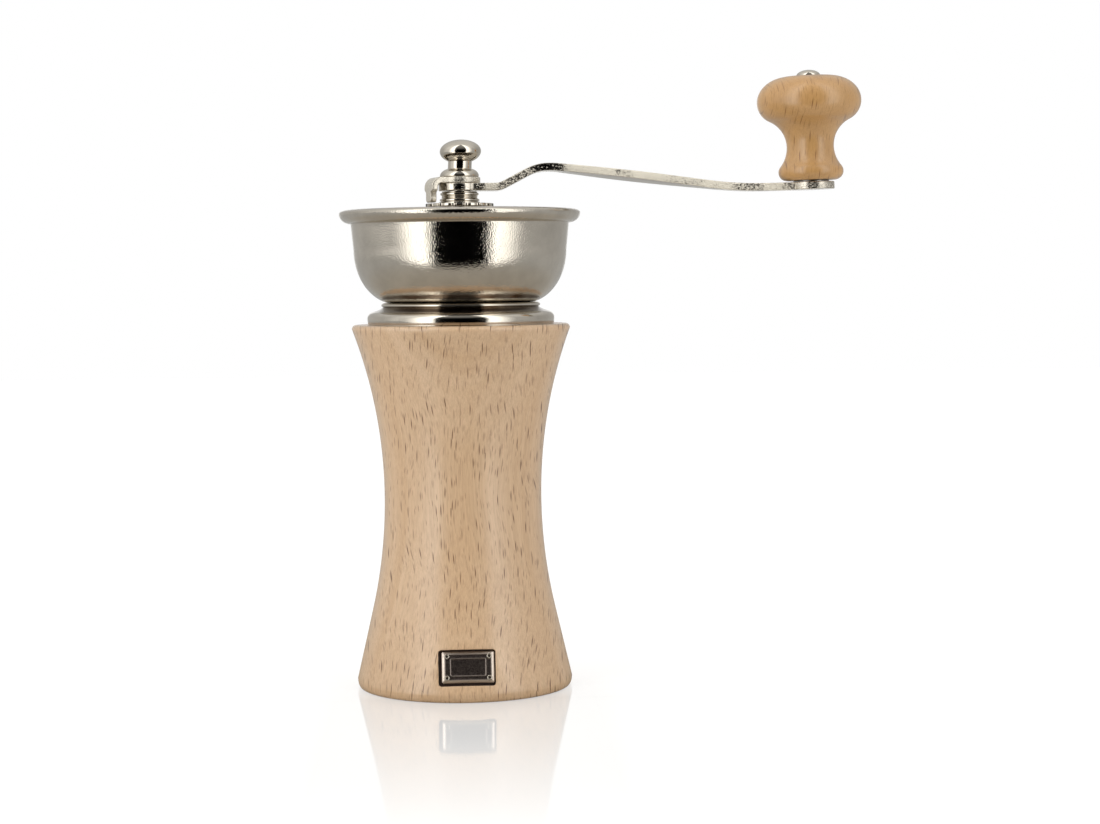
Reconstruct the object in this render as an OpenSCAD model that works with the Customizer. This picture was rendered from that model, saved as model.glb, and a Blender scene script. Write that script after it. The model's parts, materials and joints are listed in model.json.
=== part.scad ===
// Manual coffee grinder: a turned wooden body that catches the grounds, an open bowl on a collar
// that lifts off, a conical burr set on a spindle, and a crank with a mushroom knob.
// The origin is the centre of the base, +Z is up, the crank points to +X, the badge faces -Y.

/* [Wooden body] */
// Height of the wooden body
body_h = 132; // [120:0.5:145]
// Radius at the base, above its rounded edge
base_r = 39.2; // [37:0.1:43]
// Radius at the waist
waist_r = 28.6; // [27.5:0.1:33]
// Height of the waist
waist_z = 69.5; // [60:0.5:76]
// Lean of the straight flank over the base, in degrees
base_lean = 13; // [10:0.5:16]
// Radius at the top
top_r = 39.6; // [38:0.1:43]
// Height of the rounded bottom edge
base_round = 3; // [2:0.5:6]
// How far the bottom edge is drawn in
base_inset = 1.3; // [1:0.1:4]
// Rounding of the top edge
top_round = 1.5; // [0.5:0.1:1.5]
// Radius of the cup bored in the wood
cup_r = 22.5; // [20:0.5:24]
// Thickness of the floor under the cup
cup_floor = 8; // [5:0.5:20]

/* [Badge] */
// Width of the badge plate
badge_w = 18.6; // [14:0.2:22]
// Height of the badge plate, along the flank
badge_h = 11.2; // [9:0.2:14]
// Thickness of the badge plate
badge_t = 1.2; // [0.8:0.1:1.6]
// Height of the badge's centre over the base
badge_z = 12.6; // [11:0.2:30]
// How far the badge sits to the right of the front, in degrees round the axis
badge_turn = 1.7; // [-10:0.1:10]
// How deep the plate's face lies under the middle of the flank
badge_sink = 1.5; // [1:0.1:2.5]
// Room round the plate in its pocket
pocket_gap = 0.8; // [0.3:0.1:1.5]
// Radius of a rivet's head
rivet_r = 0.85; // [0.5:0.05:1.1]
// Height of a rivet's head
rivet_head_h = 0.45; // [0.3:0.05:0.6]
// Radius of a rivet's shank
rivet_shank_r = 0.45; // [0.3:0.05:0.45]
// Distance of the rivets from the plate's edges
rivet_inset = 1.6; // [1.2:0.1:2]
// Width of the plate's raised border
border_w = 0.9; // [0.5:0.1:1.5]
// Height of the plate's raised border
border_h = 0.3; // [0.1:0.05:0.5]

/* [Collar] */
// Radius of the flange on the wood
flange_r = 34; // [33:0.1:37]
// Height of the flange's upright edge
flange_h = 3; // [2:0.1:4]
// Height of the rounded shoulder over the flange
shoulder_h = 2.8; // [2:0.1:3.2]
// Width of the rounded shoulder
shoulder_w = 3; // [2:0.1:5]
// Height of the bowl's seat over the shoulder
bead_h = 1.6; // [1.2:0.1:2.4]
// Radius of the bead round the top
bead_r = 28.9; // [27.5:0.1:30]
// Radius of the bead's own round
bead_round = 1.3; // [0.8:0.1:1.6]
// How far the bead stands over the bowl's seat
bead_rise = 0.4; // [0:0.1:0.6]
// How far the bead stands out over the shoulder
bead_step = 0.5; // [0.1:0.1:0.8]
// Thickness of the web under the bowl
web_t = 2.4; // [1.6:0.1:3]
// Depth of the skirt that goes into the neck ring
skirt_h = 9.8; // [6:0.2:11]
// Wall of the skirt
skirt_t = 2.4; // [1.5:0.1:3]
// Wall of the neck ring
neck_ring_t = 3.2; // [2:0.1:4]
// How far the neck ring reaches below the skirt
neck_ring_under = 2; // [1:0.1:4]
// Width of the flat seal
seal_w = 2.2; // [1.5:0.1:2.6]
// Thickness of the flat seal
seal_t = 1.2; // [0.8:0.1:1.8]
// Metal outside the seal's groove
seal_edge = 1.4; // [1:0.1:2]
// Room between the skirt and the burr's flange
skirt_room = 2.2; // [1:0.1:3]

/* [Bowl] */
// Height of the bowl from its seat to the top of the rim
bowl_h = 34; // [31:0.2:36]
// Outer radius where the wall meets the bottom curve
bowl_r = 38.6; // [37:0.1:42]
// How much wider the wall is under the rim
bowl_flare = 0.9; // [0:0.1:2]
// Radius of the floor that the bridge and its screws take up
bowl_floor_r = 20.9; // [20:0.1:23]
// Radius where the floor turns up
bowl_bend_r = 23.3; // [23:0.1:25]
// Height of the bottom curve
bowl_curve_h = 19.5; // [17:0.5:21]
// Sheet thickness
bowl_wall = 1; // [0.7:0.1:1.4]
// Radius of the rolled rim
rim_round = 2.1; // [1.6:0.1:2.6]

/* [Burrs] */
// Height of the outer burr
burr_h = 23; // [18:0.5:26]
// Thickness of the outer burr's flange
burr_flange_t = 4; // [3:0.2:5]
// Wall of the outer burr at its lower edge
burr_wall = 2; // [1.5:0.1:2.5]
// Radius of the throat
throat_r = 11.5; // [10.8:0.1:12.5]
// Height of the fine teeth at the lower end
fine_h = 8; // [5:0.5:10]
// How much the outer burr widens above the fine teeth
burr_step = 0.8; // [0.4:0.1:1.2]
// Gap between the burrs at the coarsest setting
burr_gap = 0.8; // [0.7:0.05:1.2]
// How far the inner burr stands over the outer one
inner_rise = 1; // [0.5:0.1:2]
// Radius of the inner burr's top
inner_top_r = 6.6; // [6.2:0.1:7.5]
// Number of fine teeth
fine_teeth = 24; // [16:1:30]
// Number of feed grooves
feed_grooves = 6; // [4:1:8]
// Width of a fine groove
fine_groove = 0.7; // [0.4:0.1:0.9]
// Width of a feed groove
feed_groove = 4; // [3:0.1:4.5]
// Depth of the feed grooves at their lower end
feed_low_depth = 2.2; // [1:0.1:3]
// Metal left between the feed grooves and the spindle at the top
burr_core = 1.4; // [1:0.1:2]
// Slant of the feed grooves
feed_slant = 14; // [0:1:20]
// Radius of a burr screw
screw_r = 1.25; // [1:0.05:1.5]
// Radius of a burr screw's head
screw_head_r = 2.1; // [1.9:0.05:2.3]
// Height of a burr screw's head
screw_head_h = 1.6; // [1.2:0.1:2.2]
// Thickness of the washer under the inner burr
burr_washer_t = 1.2; // [0.8:0.1:2]
// Radius of the washer under the inner burr
burr_washer_r = 7; // [6:0.1:8]
// Height of the burr nut
burr_nut_h = 4.8; // [3.5:0.1:6]
// Distance across the flats of the burr nut
burr_nut_af = 10.5; // [10:0.5:13]
// Number of burr screws and bridge legs
leg_count = 3; // [3:1:4]

/* [Bridge and spindle] */
// Height of the bridge over the bowl's floor
bridge_h = 30.9; // [28:0.1:32.5]
// Width of a leg
leg_w = 8; // [6:0.5:10]
// Thickness of a leg
leg_t = 4; // [3:0.2:5]
// Height of a foot
foot_h = 5; // [4:0.2:7]
// Room between a foot and the throat
foot_room = 1.5; // [0.5:0.1:2.5]
// Metal left over a screw's blind hole in its foot
screw_roof = 1; // [0.6:0.1:2]
// Radius of the hub
hub_r = 9; // [8.2:0.1:10]
// Height of the hub
bridge_hub_h = 14; // [10:0.5:16]
// Outer radius of the bush
bush_r = 6.5; // [5.8:0.1:7]
// Length of the bush under its flange
bush_len = 19; // [16:0.5:22]
// Thickness of the bush's flange
bush_flange_t = 1.5; // [1:0.1:2]
// Radius of the spindle
shaft_r = 4; // [3.5:0.1:4.3]
// Depth of the spindle's two flats
flat_depth = 0.6; // [0.3:0.1:0.9]
// Step from the square to the threaded stud
stud_step = 0.25; // [0.1:0.05:0.5]
// Length of the stud in the crown nut
stud_len = 8; // [6:0.5:9]
// Length of the spindle under the burr nut
shaft_tail = 1; // [0.5:0.5:4]
// Wire radius of the spring
wire_r = 0.5; // [0.35:0.05:0.6]
// Room between the spring and the spindle
spring_room = 0.7; // [0.3:0.1:0.9]
// Turns of the spring
spring_turns = 6; // [4:1:7]

/* [Adjuster] */
// Radius of the notched disc
disc_r = 12.3; // [11:0.1:14]
// Thickness of the notched disc
disc_t = 1.6; // [1:0.1:2.4]
// Number of notches
notch_count = 16; // [8:1:24]
// Radius of a notch
notch_r = 1.1; // [0.7:0.1:1.3]
// Height of the spool nut over the disc
nut_h = 4.3; // [3.5:0.1:6]
// Radius of the spool nut's foot
nut_r = 7.5; // [6.4:0.1:8]
// Height of the spool nut's foot
nut_foot_h = 0.9; // [0.5:0.1:1.2]
// Height of the spool nut's ring, and of the groove under it
nut_ring_h = 0.7; // [0.4:0.1:0.8]
// Height of the spool nut's upper groove
nut_groove_h = 1; // [0.5:0.1:1.2]
// Step from the spool nut's foot to its collar
nut_step = 0.8; // [0.7:0.1:1.2]
// How far the spool nut's ring stands out
nut_ring = 0.4; // [0.2:0.1:0.6]
// Thickness of the drive washer
washer_t = 1; // [0.8:0.1:1.5]
// Radius of the drive washer
washer_r = 8.6; // [7:0.1:10]

/* [Crank] */
// Distance from the spindle to the knob's pin
arm_reach = 128.2; // [110:0.2:145]
// Thickness of the arm
arm_t = 2.7; // [2:0.1:3]
// Width of the arm
arm_w = 12; // [9:0.5:14]
// Width of the arm beside the eye
arm_end_w = 10; // [8:0.5:12]
// Radius of the arm's hub
arm_hub_r = 7.6; // [7:0.1:9]
// Radius of the arm's eye
eye_r = 8.4; // [7:0.1:10]
// Length of the bend where the rise starts
bend_in = 3; // [2:0.5:5]
// Length of the bend where the rise ends
bend_out = 7.5; // [5:0.5:9]
// Where the arm starts to rise
ramp_start = 13.2; // [10:0.2:16]
// Length of the rise
ramp_run = 18.6; // [15:0.2:24]
// Height of the rise
arm_rise = 7; // [4:0.1:10]
// Fall from the crest to the lowest point near the knob
arm_fall = 7.85; // [5:0.05:9]
// Length of the bend where the fall starts
fall_in = 3; // [2:0.5:8]
// Length of the bend where the fall ends
fall_out = 17; // [10:0.5:24]
// Length from the lowest point to the knob's pin
arm_tail = 19.6; // [16:0.2:24]
// Upward tilt of the arm's end
end_tilt = 1.5; // [0:0.1:3]
// Thickness of the lock plate
lock_t = 2.3; // [1.6:0.1:2.6]
// Radius of the lock plate
lock_r = 7.6; // [7:0.1:9]
// Room between the arm's hub and the tab
tab_gap = 2.1; // [0.5:0.1:3]
// How far the tab's wide part hangs below the arm
tab_drop = 0.4; // [0:0.1:2]
// Width of the tab
tab_w = 8.6; // [6:0.2:10]
// Width of the tab's tongue over the disc
tongue_w = 5.6; // [4:0.2:8]
// Inner radius of the tab's bend
tab_bend = 1.5; // [0.6:0.1:2]
// Turn of the lock plate about the spindle
tab_turn = 20; // [-40:1:40]

/* [Crown nut] */
// Radius of the crown nut's foot
crown_foot_r = 7.1; // [6:0.1:8]
// Height of the domed foot
crown_foot_h = 3.2; // [2.8:0.1:5]
// Radius of the neck
crown_neck_r = 4.3; // [4:0.05:5]
// Height of the neck
crown_neck_h = 1.7; // [1.5:0.1:3]
// How far the foot's dome runs in under the neck
crown_dome_in = 1.2; // [0.6:0.1:2]
// Radius of the flattened ball
crown_r = 7.5; // [6.6:0.1:9]
// Height of the flattened ball
crown_ball_h = 8.7; // [7:0.1:10]

/* [Knob] */
// Height of the knob
knob_h = 37.6; // [34:0.2:44]
// Largest radius of the knob
knob_r = 18.9; // [17:0.1:21]
// Radius of the knob's neck
knob_neck_r = 8.55; // [7.5:0.05:9.5]
// Radius of the knob's foot
knob_foot_r = 11.8; // [10.5:0.1:13]
// Height of the rounding on the upper edge
knob_edge = 9; // [7:0.1:10]
// Width of the rounding on the upper edge
knob_top_w = 11; // [9:0.1:14]
// Radius of the rounding under the head
knob_under = 7.5; // [6:0.1:8]
// Radius of the rounding of the foot
knob_foot_round = 3.15; // [2.5:0.05:4]
// Height of the narrowest place
knob_neck_z = 12.3; // [11:0.1:14]
// Radius of the pin
pin_r = 2.5; // [2:0.1:3]
// Radius of the pin's head
pin_head_r = 4.35; // [3.8:0.05:6]
// Height of the pin's head
pin_head_h = 2.3; // [1.5:0.1:3]
// Thickness of the washer under the knob
knob_washer_t = 0.5; // [0.4:0.1:1.2]
// Radius of the washer under the knob
knob_washer_r = 6.5; // [4:0.1:8]

/* [Fits] */
// Running clearance of a shaft in a bore, on the radius
run_fit = 0.05; // [0.02:0.01:0.08]
// Gap between flat faces that slide on each other
face_gap = 0.1; // [0.05:0.05:0.2]
// Gap under the lock plate's tongue
tongue_gap = 0.3; // [0.2:0.05:0.6]

/* [Hidden] */
$fn = 96;
cut = 1;

// Heights of the stack, from the wood upwards
seat_z = body_h + flange_h + shoulder_h + bead_h;
bowl_floor_z = seat_z + bowl_wall;
rim_z = seat_z + bowl_h - rim_round;
bridge_z = bowl_floor_z + bridge_h;
bush_top_z = bridge_z + bush_flange_t;
washer_z = bush_top_z + face_gap;
disc_z = washer_z + washer_t + face_gap;
nut_z = disc_z + disc_t;
arm_z0 = nut_z + nut_h + 2 * face_gap;
lock_z = arm_z0 + arm_t;
crown_z = lock_z + lock_t;
stud_end_z = crown_z + stud_len;

// The burr screws stand in the bowl's flat floor, and the burr, the skirt and the neck ring follow
screw_margin = 0.75;
head_room = 0.2;
screw_end_gap = 0.5;
screw_ring_r = bowl_floor_r - screw_r - screw_margin;
burr_r = screw_ring_r - screw_head_r - head_room;
burr_flange_r = screw_ring_r + screw_head_r + head_room;
skirt_in_r = burr_flange_r + skirt_room;
skirt_r = skirt_in_r + skirt_t;
neck_in_r = skirt_r + run_fit;
neck_ring_r = neck_in_r + neck_ring_t;
neck_drop = 0.2;
neck_ledge_z = body_h - skirt_h - neck_ring_under;
seal_r = flange_r - seal_edge;

// Burrs: two cones each, which meet above the fine teeth
burr_top_z = seat_z - web_t;
burr_z = burr_top_z - burr_h;
burr_mid_z = burr_z + fine_h;
mouth_r = burr_r - burr_wall;
burr_mid_r = throat_r + burr_step;
inner_top_z = burr_top_z + inner_rise;
inner_mid_r = burr_mid_r - burr_gap;
inner_mouth_r = mouth_r - burr_gap;
shaft_z = burr_z - burr_washer_t - burr_nut_h - shaft_tail;

// Spindle: flats for the drive washer, a square for the arm, a stud for the crown nut
shoulder = 0.1;
square_af = (shaft_r - shoulder) * sqrt(2);
stud_r = square_af / 2 - stud_step;
flat_af = 2 * (shaft_r - flat_depth);
tab_reach = arm_hub_r + tab_gap + lock_t;

// Spring between the inner burr and the bush
spring_mean_r = shaft_r + spring_room + wire_r;
spring_low = inner_top_z + face_gap + wire_r;
spring_rise = bridge_z - bush_len - face_gap - wire_r - spring_low;

// Flank of the wood: two arcs meet at the waist, and the lower one runs into a straight cone
flank_dr = base_r - waist_r;
flank_h = waist_z - base_round;
chord_lean = atan(flank_dr / flank_h);
least_cone = 1.1;
cone_lean = max(min(base_lean, 2 * chord_lean), least_cone * chord_lean);
arc_h = (tan(cone_lean) * flank_h - flank_dr) / (tan(cone_lean) - tan(cone_lean / 2));
cone_z = waist_z - arc_h;
lower_arc = arc_h / sin(cone_lean);
top_dr = top_r - waist_r;
upper_arc = (top_dr ^ 2 + (body_h - top_round - waist_z) ^ 2) / (2 * top_dr);
function arc_flank(z, r) = waist_r + r - sqrt(r ^ 2 - (z - waist_z) ^ 2);
function cone_flank(z) = base_r - (z - base_round) * tan(cone_lean);
function flank_r(z) =
    z < cone_z ? cone_flank(z) : arc_flank(z, z < waist_z ? lower_arc : upper_arc);
function flank_lean(z) =
    asin((waist_z - max(z, cone_z)) / (z < waist_z ? lower_arc : upper_arc));

// Points on part of an ellipse or a circle
function oval(c, rx, ry, a0, a1, n) =
    [for (i = [0:n]) let (a = a0 + (a1 - a0) * i / n) [c[0] + rx * cos(a), c[1] + ry * sin(a)]];
function arc(c, r, a0, a1, n) = oval(c, r, r, a0, a1, n);
function reversed(list) = [for (i = [len(list) - 1:-1:0]) list[i]];
module turned(points) { rotate_extrude() polygon(points); }
module tube(r, r_in, z0, z1) {
    difference() {
        translate([0, 0, z0]) cylinder(r = r, h = z1 - z0);
        translate([0, 0, z0 - cut]) cylinder(r = r_in, h = z1 - z0 + 2 * cut);
    }
}
module rod(r, z0, z1) { translate([0, 0, z0]) cylinder(r = r, h = z1 - z0); }

// Wood

flank_steps = 16;
pocket_out = 5;
module wooden_body() {
    flank = [for (i = [0:2 * flank_steps])
        let (z = base_round + (body_h - top_round - base_round) * i / (2 * flank_steps))
        [flank_r(z), z]];
    edge = arc([top_r - top_round, body_h - top_round], top_round, 0, 90, 4);
    foot = oval([base_r - base_inset, base_round], base_inset, base_round, -90, -10, 6);
    color("burlywood") difference() {
        turned(concat([[0, 0]], foot, flank, edge, [[0, body_h]]));
        rod(cup_r, cup_floor, body_h);
        rod(neck_ring_r + run_fit, neck_ledge_z, body_h + cut);
        badge_place(-badge_sink - badge_t)
            translate([-badge_w / 2 - pocket_gap, -badge_h / 2 - pocket_gap, 0])
            cube([badge_w + 2 * pocket_gap, badge_h + 2 * pocket_gap, badge_sink + badge_t + pocket_out]);
    }
}

module neck_ring() { color("silver") tube(neck_ring_r, neck_in_r, neck_ledge_z, body_h - neck_drop); }

// Badge, on the flank at the front: local x to the right, y up the flank, z outwards
module badge_place(z) {
    rotate([0, 0, badge_turn])
        translate([0, -flank_r(badge_z), badge_z])
        rotate([90 - flank_lean(badge_z), 0, 0])
        translate([0, 0, z]) children();
}
module at_rivets() {
    for (x = [-1, 1], y = [-1, 1])
        translate([x * (badge_w / 2 - rivet_inset), y * (badge_h / 2 - rivet_inset), 0]) children();
}
module badge_plate() {
    pad_r = rivet_r + border_h;
    color("dimgray") badge_place(-badge_sink - badge_t) difference() {
        translate([-badge_w / 2, -badge_h / 2, 0]) cube([badge_w, badge_h, badge_t]);
        difference() {
            translate([border_w - badge_w / 2, border_w - badge_h / 2, badge_t - border_h])
                cube([badge_w - 2 * border_w, badge_h - 2 * border_w, badge_t]);
            at_rivets() cylinder(r = pad_r, h = badge_t);
        }
        at_rivets() rod(rivet_shank_r, -cut, badge_t + cut);
    }
}
module badge_rivets() {
    color("lightgray") badge_place(-badge_sink) at_rivets() {
        turned(concat([[0, 0]], oval([0, 0], rivet_r, rivet_head_h, 0, 90, 5)));
        rod(rivet_shank_r, -badge_t, 0);
    }
}

// Collar

module collar() {
    bead_c = [bead_r - bead_round, seat_z + bead_rise - bead_round];
    shoulder_r = bead_r - bead_step;
    flange_z = body_h + flange_h;
    shoulder = concat([[shoulder_r, flange_z + shoulder_h]],
        oval([flange_r - shoulder_w, flange_z], shoulder_w, shoulder_h, 90, 0, 8));
    color("gainsboro") difference() {
        union() {
            turned(concat(
                [[throat_r, seat_z], [bead_c[0], seat_z]], shoulder,
                [[flange_r, body_h], [seal_r, body_h], [seal_r, body_h + seal_t],
                 [seal_r - seal_w, body_h + seal_t], [seal_r - seal_w, body_h], [skirt_r, body_h],
                 [skirt_r, body_h - skirt_h], [skirt_in_r, body_h - skirt_h],
                 [skirt_in_r, burr_top_z], [throat_r, burr_top_z]]));
            rotate_extrude() translate(bead_c) circle(bead_round);
        }
        at_screws() rod(screw_r + run_fit, burr_top_z - cut, seat_z + cut);
    }
}
module seal_ring() { color("black") tube(seal_r, seal_r - seal_w, body_h, body_h + seal_t); }

// Bowl

module hopper_bowl() {
    lip_r = bowl_r + bowl_flare;
    roll_c = [lip_r + rim_round, rim_z];
    curve_r = bowl_r - bowl_bend_r;
    curve_c = [bowl_bend_r, seat_z + bowl_curve_h];
    outer = oval(curve_c, curve_r, bowl_curve_h, -90, 0, 14);
    inner = oval(curve_c, curve_r - bowl_wall, bowl_curve_h - bowl_wall, 0, -90, 14);
    // The sheet bends outwards and runs into the roll: places in roll radii, from the wall and the roll
    lip_out = [[lip_r, rim_z - 1.7 * rim_round], [lip_r + 0.3 * rim_round, rim_z - 0.95 * rim_round]];
    lip_in = [roll_c + rim_round * [-0.3, 0.9], [lip_r - bowl_wall, rim_z] + rim_round * [0.4, 0.4],
        [lip_r - bowl_wall, rim_z - 0.6 * rim_round]];
    color("silver") difference() {
        union() {
            turned(concat([[throat_r, seat_z]], outer, lip_out, [roll_c], lip_in, inner,
                [[throat_r, bowl_floor_z]]));
            rotate_extrude() translate(roll_c) circle(rim_round);
        }
        at_screws() rod(screw_r + run_fit, seat_z - cut, bowl_floor_z + cut);
    }
}

// Bridge and burrs

leg_from = 90;
module at_legs() {
    for (i = [0:leg_count - 1]) rotate(leg_from + i * 360 / leg_count) children();
}
module at_screws() { at_legs() translate([screw_ring_r, 0, 0]) children(); }
module bridge() {
    foot_r = bowl_floor_r - head_room;
    foot_in_r = throat_r + foot_room;
    foot_z = bowl_floor_z + foot_h;
    hub_z = bridge_z - bridge_hub_h;
    hub_in_r = bush_r + screw_margin;
    color("darkgray") difference() {
        union() {
            rod(hub_r, hub_z, bridge_z);
            intersection() {
                rod(foot_r, bowl_floor_z, bridge_z);
                at_legs() rotate([90, 0, 0]) linear_extrude(leg_w, center = true)
                    polygon([[foot_in_r, bowl_floor_z], [foot_r + cut, bowl_floor_z], [foot_r + cut, foot_z],
                        [hub_r, bridge_z], [hub_in_r, bridge_z], [hub_in_r, hub_z], [hub_r, hub_z],
                        [foot_r - leg_t, foot_z], [foot_in_r, foot_z]]);
            }
        }
        rod(bush_r + run_fit, hub_z - cut, bridge_z + cut);
        at_screws() rod(screw_r + run_fit, bowl_floor_z - cut, foot_z - screw_roof);
    }
}
module bridge_bush() {
    color("goldenrod") difference() {
        union() {
            rod(bush_r, bridge_z - bush_len, bush_top_z);
            rod(hub_r, bridge_z, bush_top_z);
        }
        rod(shaft_r + run_fit, bridge_z - bush_len - cut, bush_top_z + cut);
    }
}

// A row of slanted grooves, each cut by a square bar that stands on its edge
module grooves(count, r0, z0, r1, z1, size, slant) {
    length = norm([r1 - r0, z1 - z0]) + 2 * cut;
    lean = atan2(r1 - r0, z1 - z0);
    for (i = [0:count - 1])
        rotate(i * 360 / count) translate([(r0 + r1) / 2, 0, (z0 + z1) / 2])
            rotate([0, lean, 0]) rotate([slant, 0, 0]) rotate(45)
            cube([size, size, length], center = true);
}
module outer_burr() {
    color("slategray") difference() {
        turned([[throat_r, burr_top_z], [burr_flange_r, burr_top_z],
            [burr_flange_r, burr_top_z - burr_flange_t], [burr_r, burr_top_z - burr_flange_t],
            [burr_r, burr_z], [mouth_r, burr_z], [burr_mid_r, burr_mid_z]]);
        grooves(fine_teeth, mouth_r, burr_z, burr_mid_r, burr_mid_z, fine_groove, 0);
        at_screws() rod(screw_r + run_fit, burr_top_z - burr_flange_t - cut, burr_top_z + cut);
    }
}
module burr_screws() {
    head_z = burr_top_z - burr_flange_t;
    slot_w = 0.6;
    color("lightgray") at_screws() difference() {
        union() {
            rod(screw_r, head_z, bowl_floor_z + foot_h - screw_roof - screw_end_gap);
            rod(screw_head_r, head_z - screw_head_h, head_z);
        }
        translate([-screw_head_r - cut, -slot_w / 2, head_z - screw_head_h - cut])
            cube([2 * screw_head_r + 2 * cut, slot_w, cut + screw_head_h / 2]);
    }
}
module inner_burr() {
    feed_top_r = shaft_r + burr_core + feed_groove / sqrt(2);
    feed_low_r = inner_mid_r + feed_groove / sqrt(2) - feed_low_depth;
    color("slategray") difference() {
        turned([[0, burr_z], [inner_mouth_r, burr_z], [inner_mid_r, burr_mid_z],
            [inner_top_r, inner_top_z], [0, inner_top_z]]);
        grooves(fine_teeth, inner_mouth_r, burr_z, inner_mid_r, burr_mid_z, fine_groove, 0);
        grooves(feed_grooves, feed_low_r, burr_mid_z, feed_top_r, inner_top_z, feed_groove, feed_slant);
        rod(shaft_r + run_fit, burr_z - cut, inner_top_z + cut);
    }
}
module burr_washer() {
    color("lightgray") tube(burr_washer_r, shaft_r + run_fit, burr_z - burr_washer_t, burr_z);
}
module burr_nut() {
    z1 = burr_z - burr_washer_t;
    color("lightgray") difference() {
        translate([0, 0, z1 - burr_nut_h]) cylinder(d = burr_nut_af / cos(30), h = burr_nut_h, $fn = 6);
        rod(shaft_r + run_fit, z1 - burr_nut_h - cut, z1 + cut);
    }
}

// Spring: one tube swept along a helix, between the inner burr and the bush
spring_rings = 12;
spring_sides = 6;
spring_count = spring_turns * spring_rings;
function spring_point(i, r) =
    let (a = 360 * i / spring_rings) [r * cos(a), r * sin(a), spring_low + spring_rise * i / spring_count];
spring_gap = min([for (i = [0:spring_count - spring_rings])
    norm(spring_point(i + spring_rings, spring_mean_r) - spring_point(i, spring_mean_r))]) - 2 * wire_r;
module burr_spring() {
    echo(least_gap_of_the_spring = spring_gap);
    points = [for (i = [0:spring_count], j = [0:spring_sides - 1])
        let (b = 360 * j / spring_sides)
        spring_point(i, spring_mean_r + wire_r * cos(b)) + [0, 0, wire_r * sin(b)]];
    side = [for (i = [0:spring_count - 1], j = [0:spring_sides - 1])
        let (k = (j + 1) % spring_sides, p = i * spring_sides, q = p + spring_sides)
        each [[p + j, p + k, q + k], [p + j, q + k, q + j]]];
    last = spring_count * spring_sides;
    caps = [for (j = [1:spring_sides - 2]) each [[0, j + 1, j], [last, last + j, last + j + 1]]];
    color("silver") polyhedron(points, concat(side, caps));
}

// Spindle and adjuster

flat_margin = 2;
module shaft() {
    flat_z0 = bush_top_z - flat_margin;
    flat_h = arm_z0 - flat_margin - flat_z0;
    color("lightgray") difference() {
        union() {
            rod(shaft_r, shaft_z, arm_z0);
            translate([-square_af / 2, -square_af / 2, arm_z0])
                cube([square_af, square_af, arm_t + lock_t - face_gap]);
            rod(stud_r, arm_z0, stud_end_z);
        }
        for (side = [-1, 1])
            translate([-shaft_r - cut, side * (flat_af / 2 + shaft_r) - shaft_r, flat_z0])
                cube([2 * shaft_r + 2 * cut, 2 * shaft_r, flat_h]);
    }
}
module drive_washer() {
    color("lightgray") difference() {
        rod(washer_r, washer_z, washer_z + washer_t);
        intersection() {
            rod(shaft_r + run_fit, washer_z - cut, washer_z + washer_t + cut);
            translate([-shaft_r - cut, -flat_af / 2 - run_fit, washer_z - cut])
                cube([2 * shaft_r + 2 * cut, flat_af + 2 * run_fit, washer_t + 2 * cut]);
        }
    }
}
module notched_disc() {
    color("silver") difference() {
        tube(disc_r, shaft_r + run_fit, disc_z, disc_z + disc_t);
        for (i = [0:notch_count - 1])
            rotate((i + 0.5) * 360 / notch_count) translate([disc_r, 0, 0])
                rod(notch_r, disc_z - cut, disc_z + disc_t + cut);
    }
}
module adjusting_nut() {
    bore = shaft_r + run_fit;
    r = nut_r - nut_step;
    ring_z = nut_foot_h + nut_ring_h;
    groove_z = ring_z + nut_ring_h;
    groove_top = groove_z + nut_groove_h;
    color("silver") translate([0, 0, nut_z]) turned([
        [bore, 0], [nut_r, 0], [nut_r, nut_foot_h], [r, nut_foot_h], [r, ring_z], [r + nut_ring, ring_z],
        [r + nut_ring, groove_z], [r - nut_ring, groove_z], [r - nut_ring, groove_top], [r, groove_top],
        [r, nut_h], [bore, nut_h]]);
}

// Crank: the centre line of the arm, as height over distance from the spindle

crest_x = ramp_start + ramp_run + cut;
dip_x = arm_reach - arm_tail;
tilt_run = 8;
slope_step = 0.05;
// Straight climb of the given height and length, with a bend at each end
function climb(u, height, run, bend_from, bend_to) =
    let (slope = height / (run - bend_from / 2 - bend_to / 2))
    u <= 0 ? 0
    : u < bend_from ? slope * u * u / (2 * bend_from)
    : u < run - bend_to ? slope * (u - bend_from / 2)
    : u < run ? height - slope * (run - u) ^ 2 / (2 * bend_to)
    : height;
function lift(u) =
    u <= 0 ? 0 : u < tilt_run ? tan(end_tilt) * u * u / (2 * tilt_run) : tan(end_tilt) * (u - tilt_run / 2);
function arm_line(x) =
    arm_z0 + arm_t / 2 + climb(x - ramp_start, arm_rise, ramp_run, bend_in, bend_out)
    - climb(x - crest_x, arm_fall, dip_x - crest_x, fall_in, fall_out) + lift(x - dip_x);
function arm_lean(x) = atan((arm_line(x + slope_step) - arm_line(x - slope_step)) / (2 * slope_step));
function arm_side(x, side) =
    [x - side * sin(arm_lean(x)) * arm_t / 2, arm_line(x) + side * cos(arm_lean(x)) * arm_t / 2];
arm_end_x = arm_reach + eye_r + cut;
arm_stations = concat(
    [-arm_hub_r - cut],
    [for (i = [0:12]) ramp_start + ramp_run * i / 12],
    [for (i = [0:24]) crest_x + (dip_x - crest_x) * i / 24],
    [for (i = [1:4]) dip_x + tilt_run * i / 4],
    [arm_end_x]);
// Frame of the knob: on the middle of the arm's thickness at its eye, along the pin
module at_knob() {
    translate([arm_reach, 0, arm_line(arm_reach)]) rotate([0, -arm_lean(arm_reach), 0]) children();
}
knob_z = arm_t / 2 + knob_washer_t + face_gap;
pin_head_z = knob_z + knob_h + face_gap;

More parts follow.
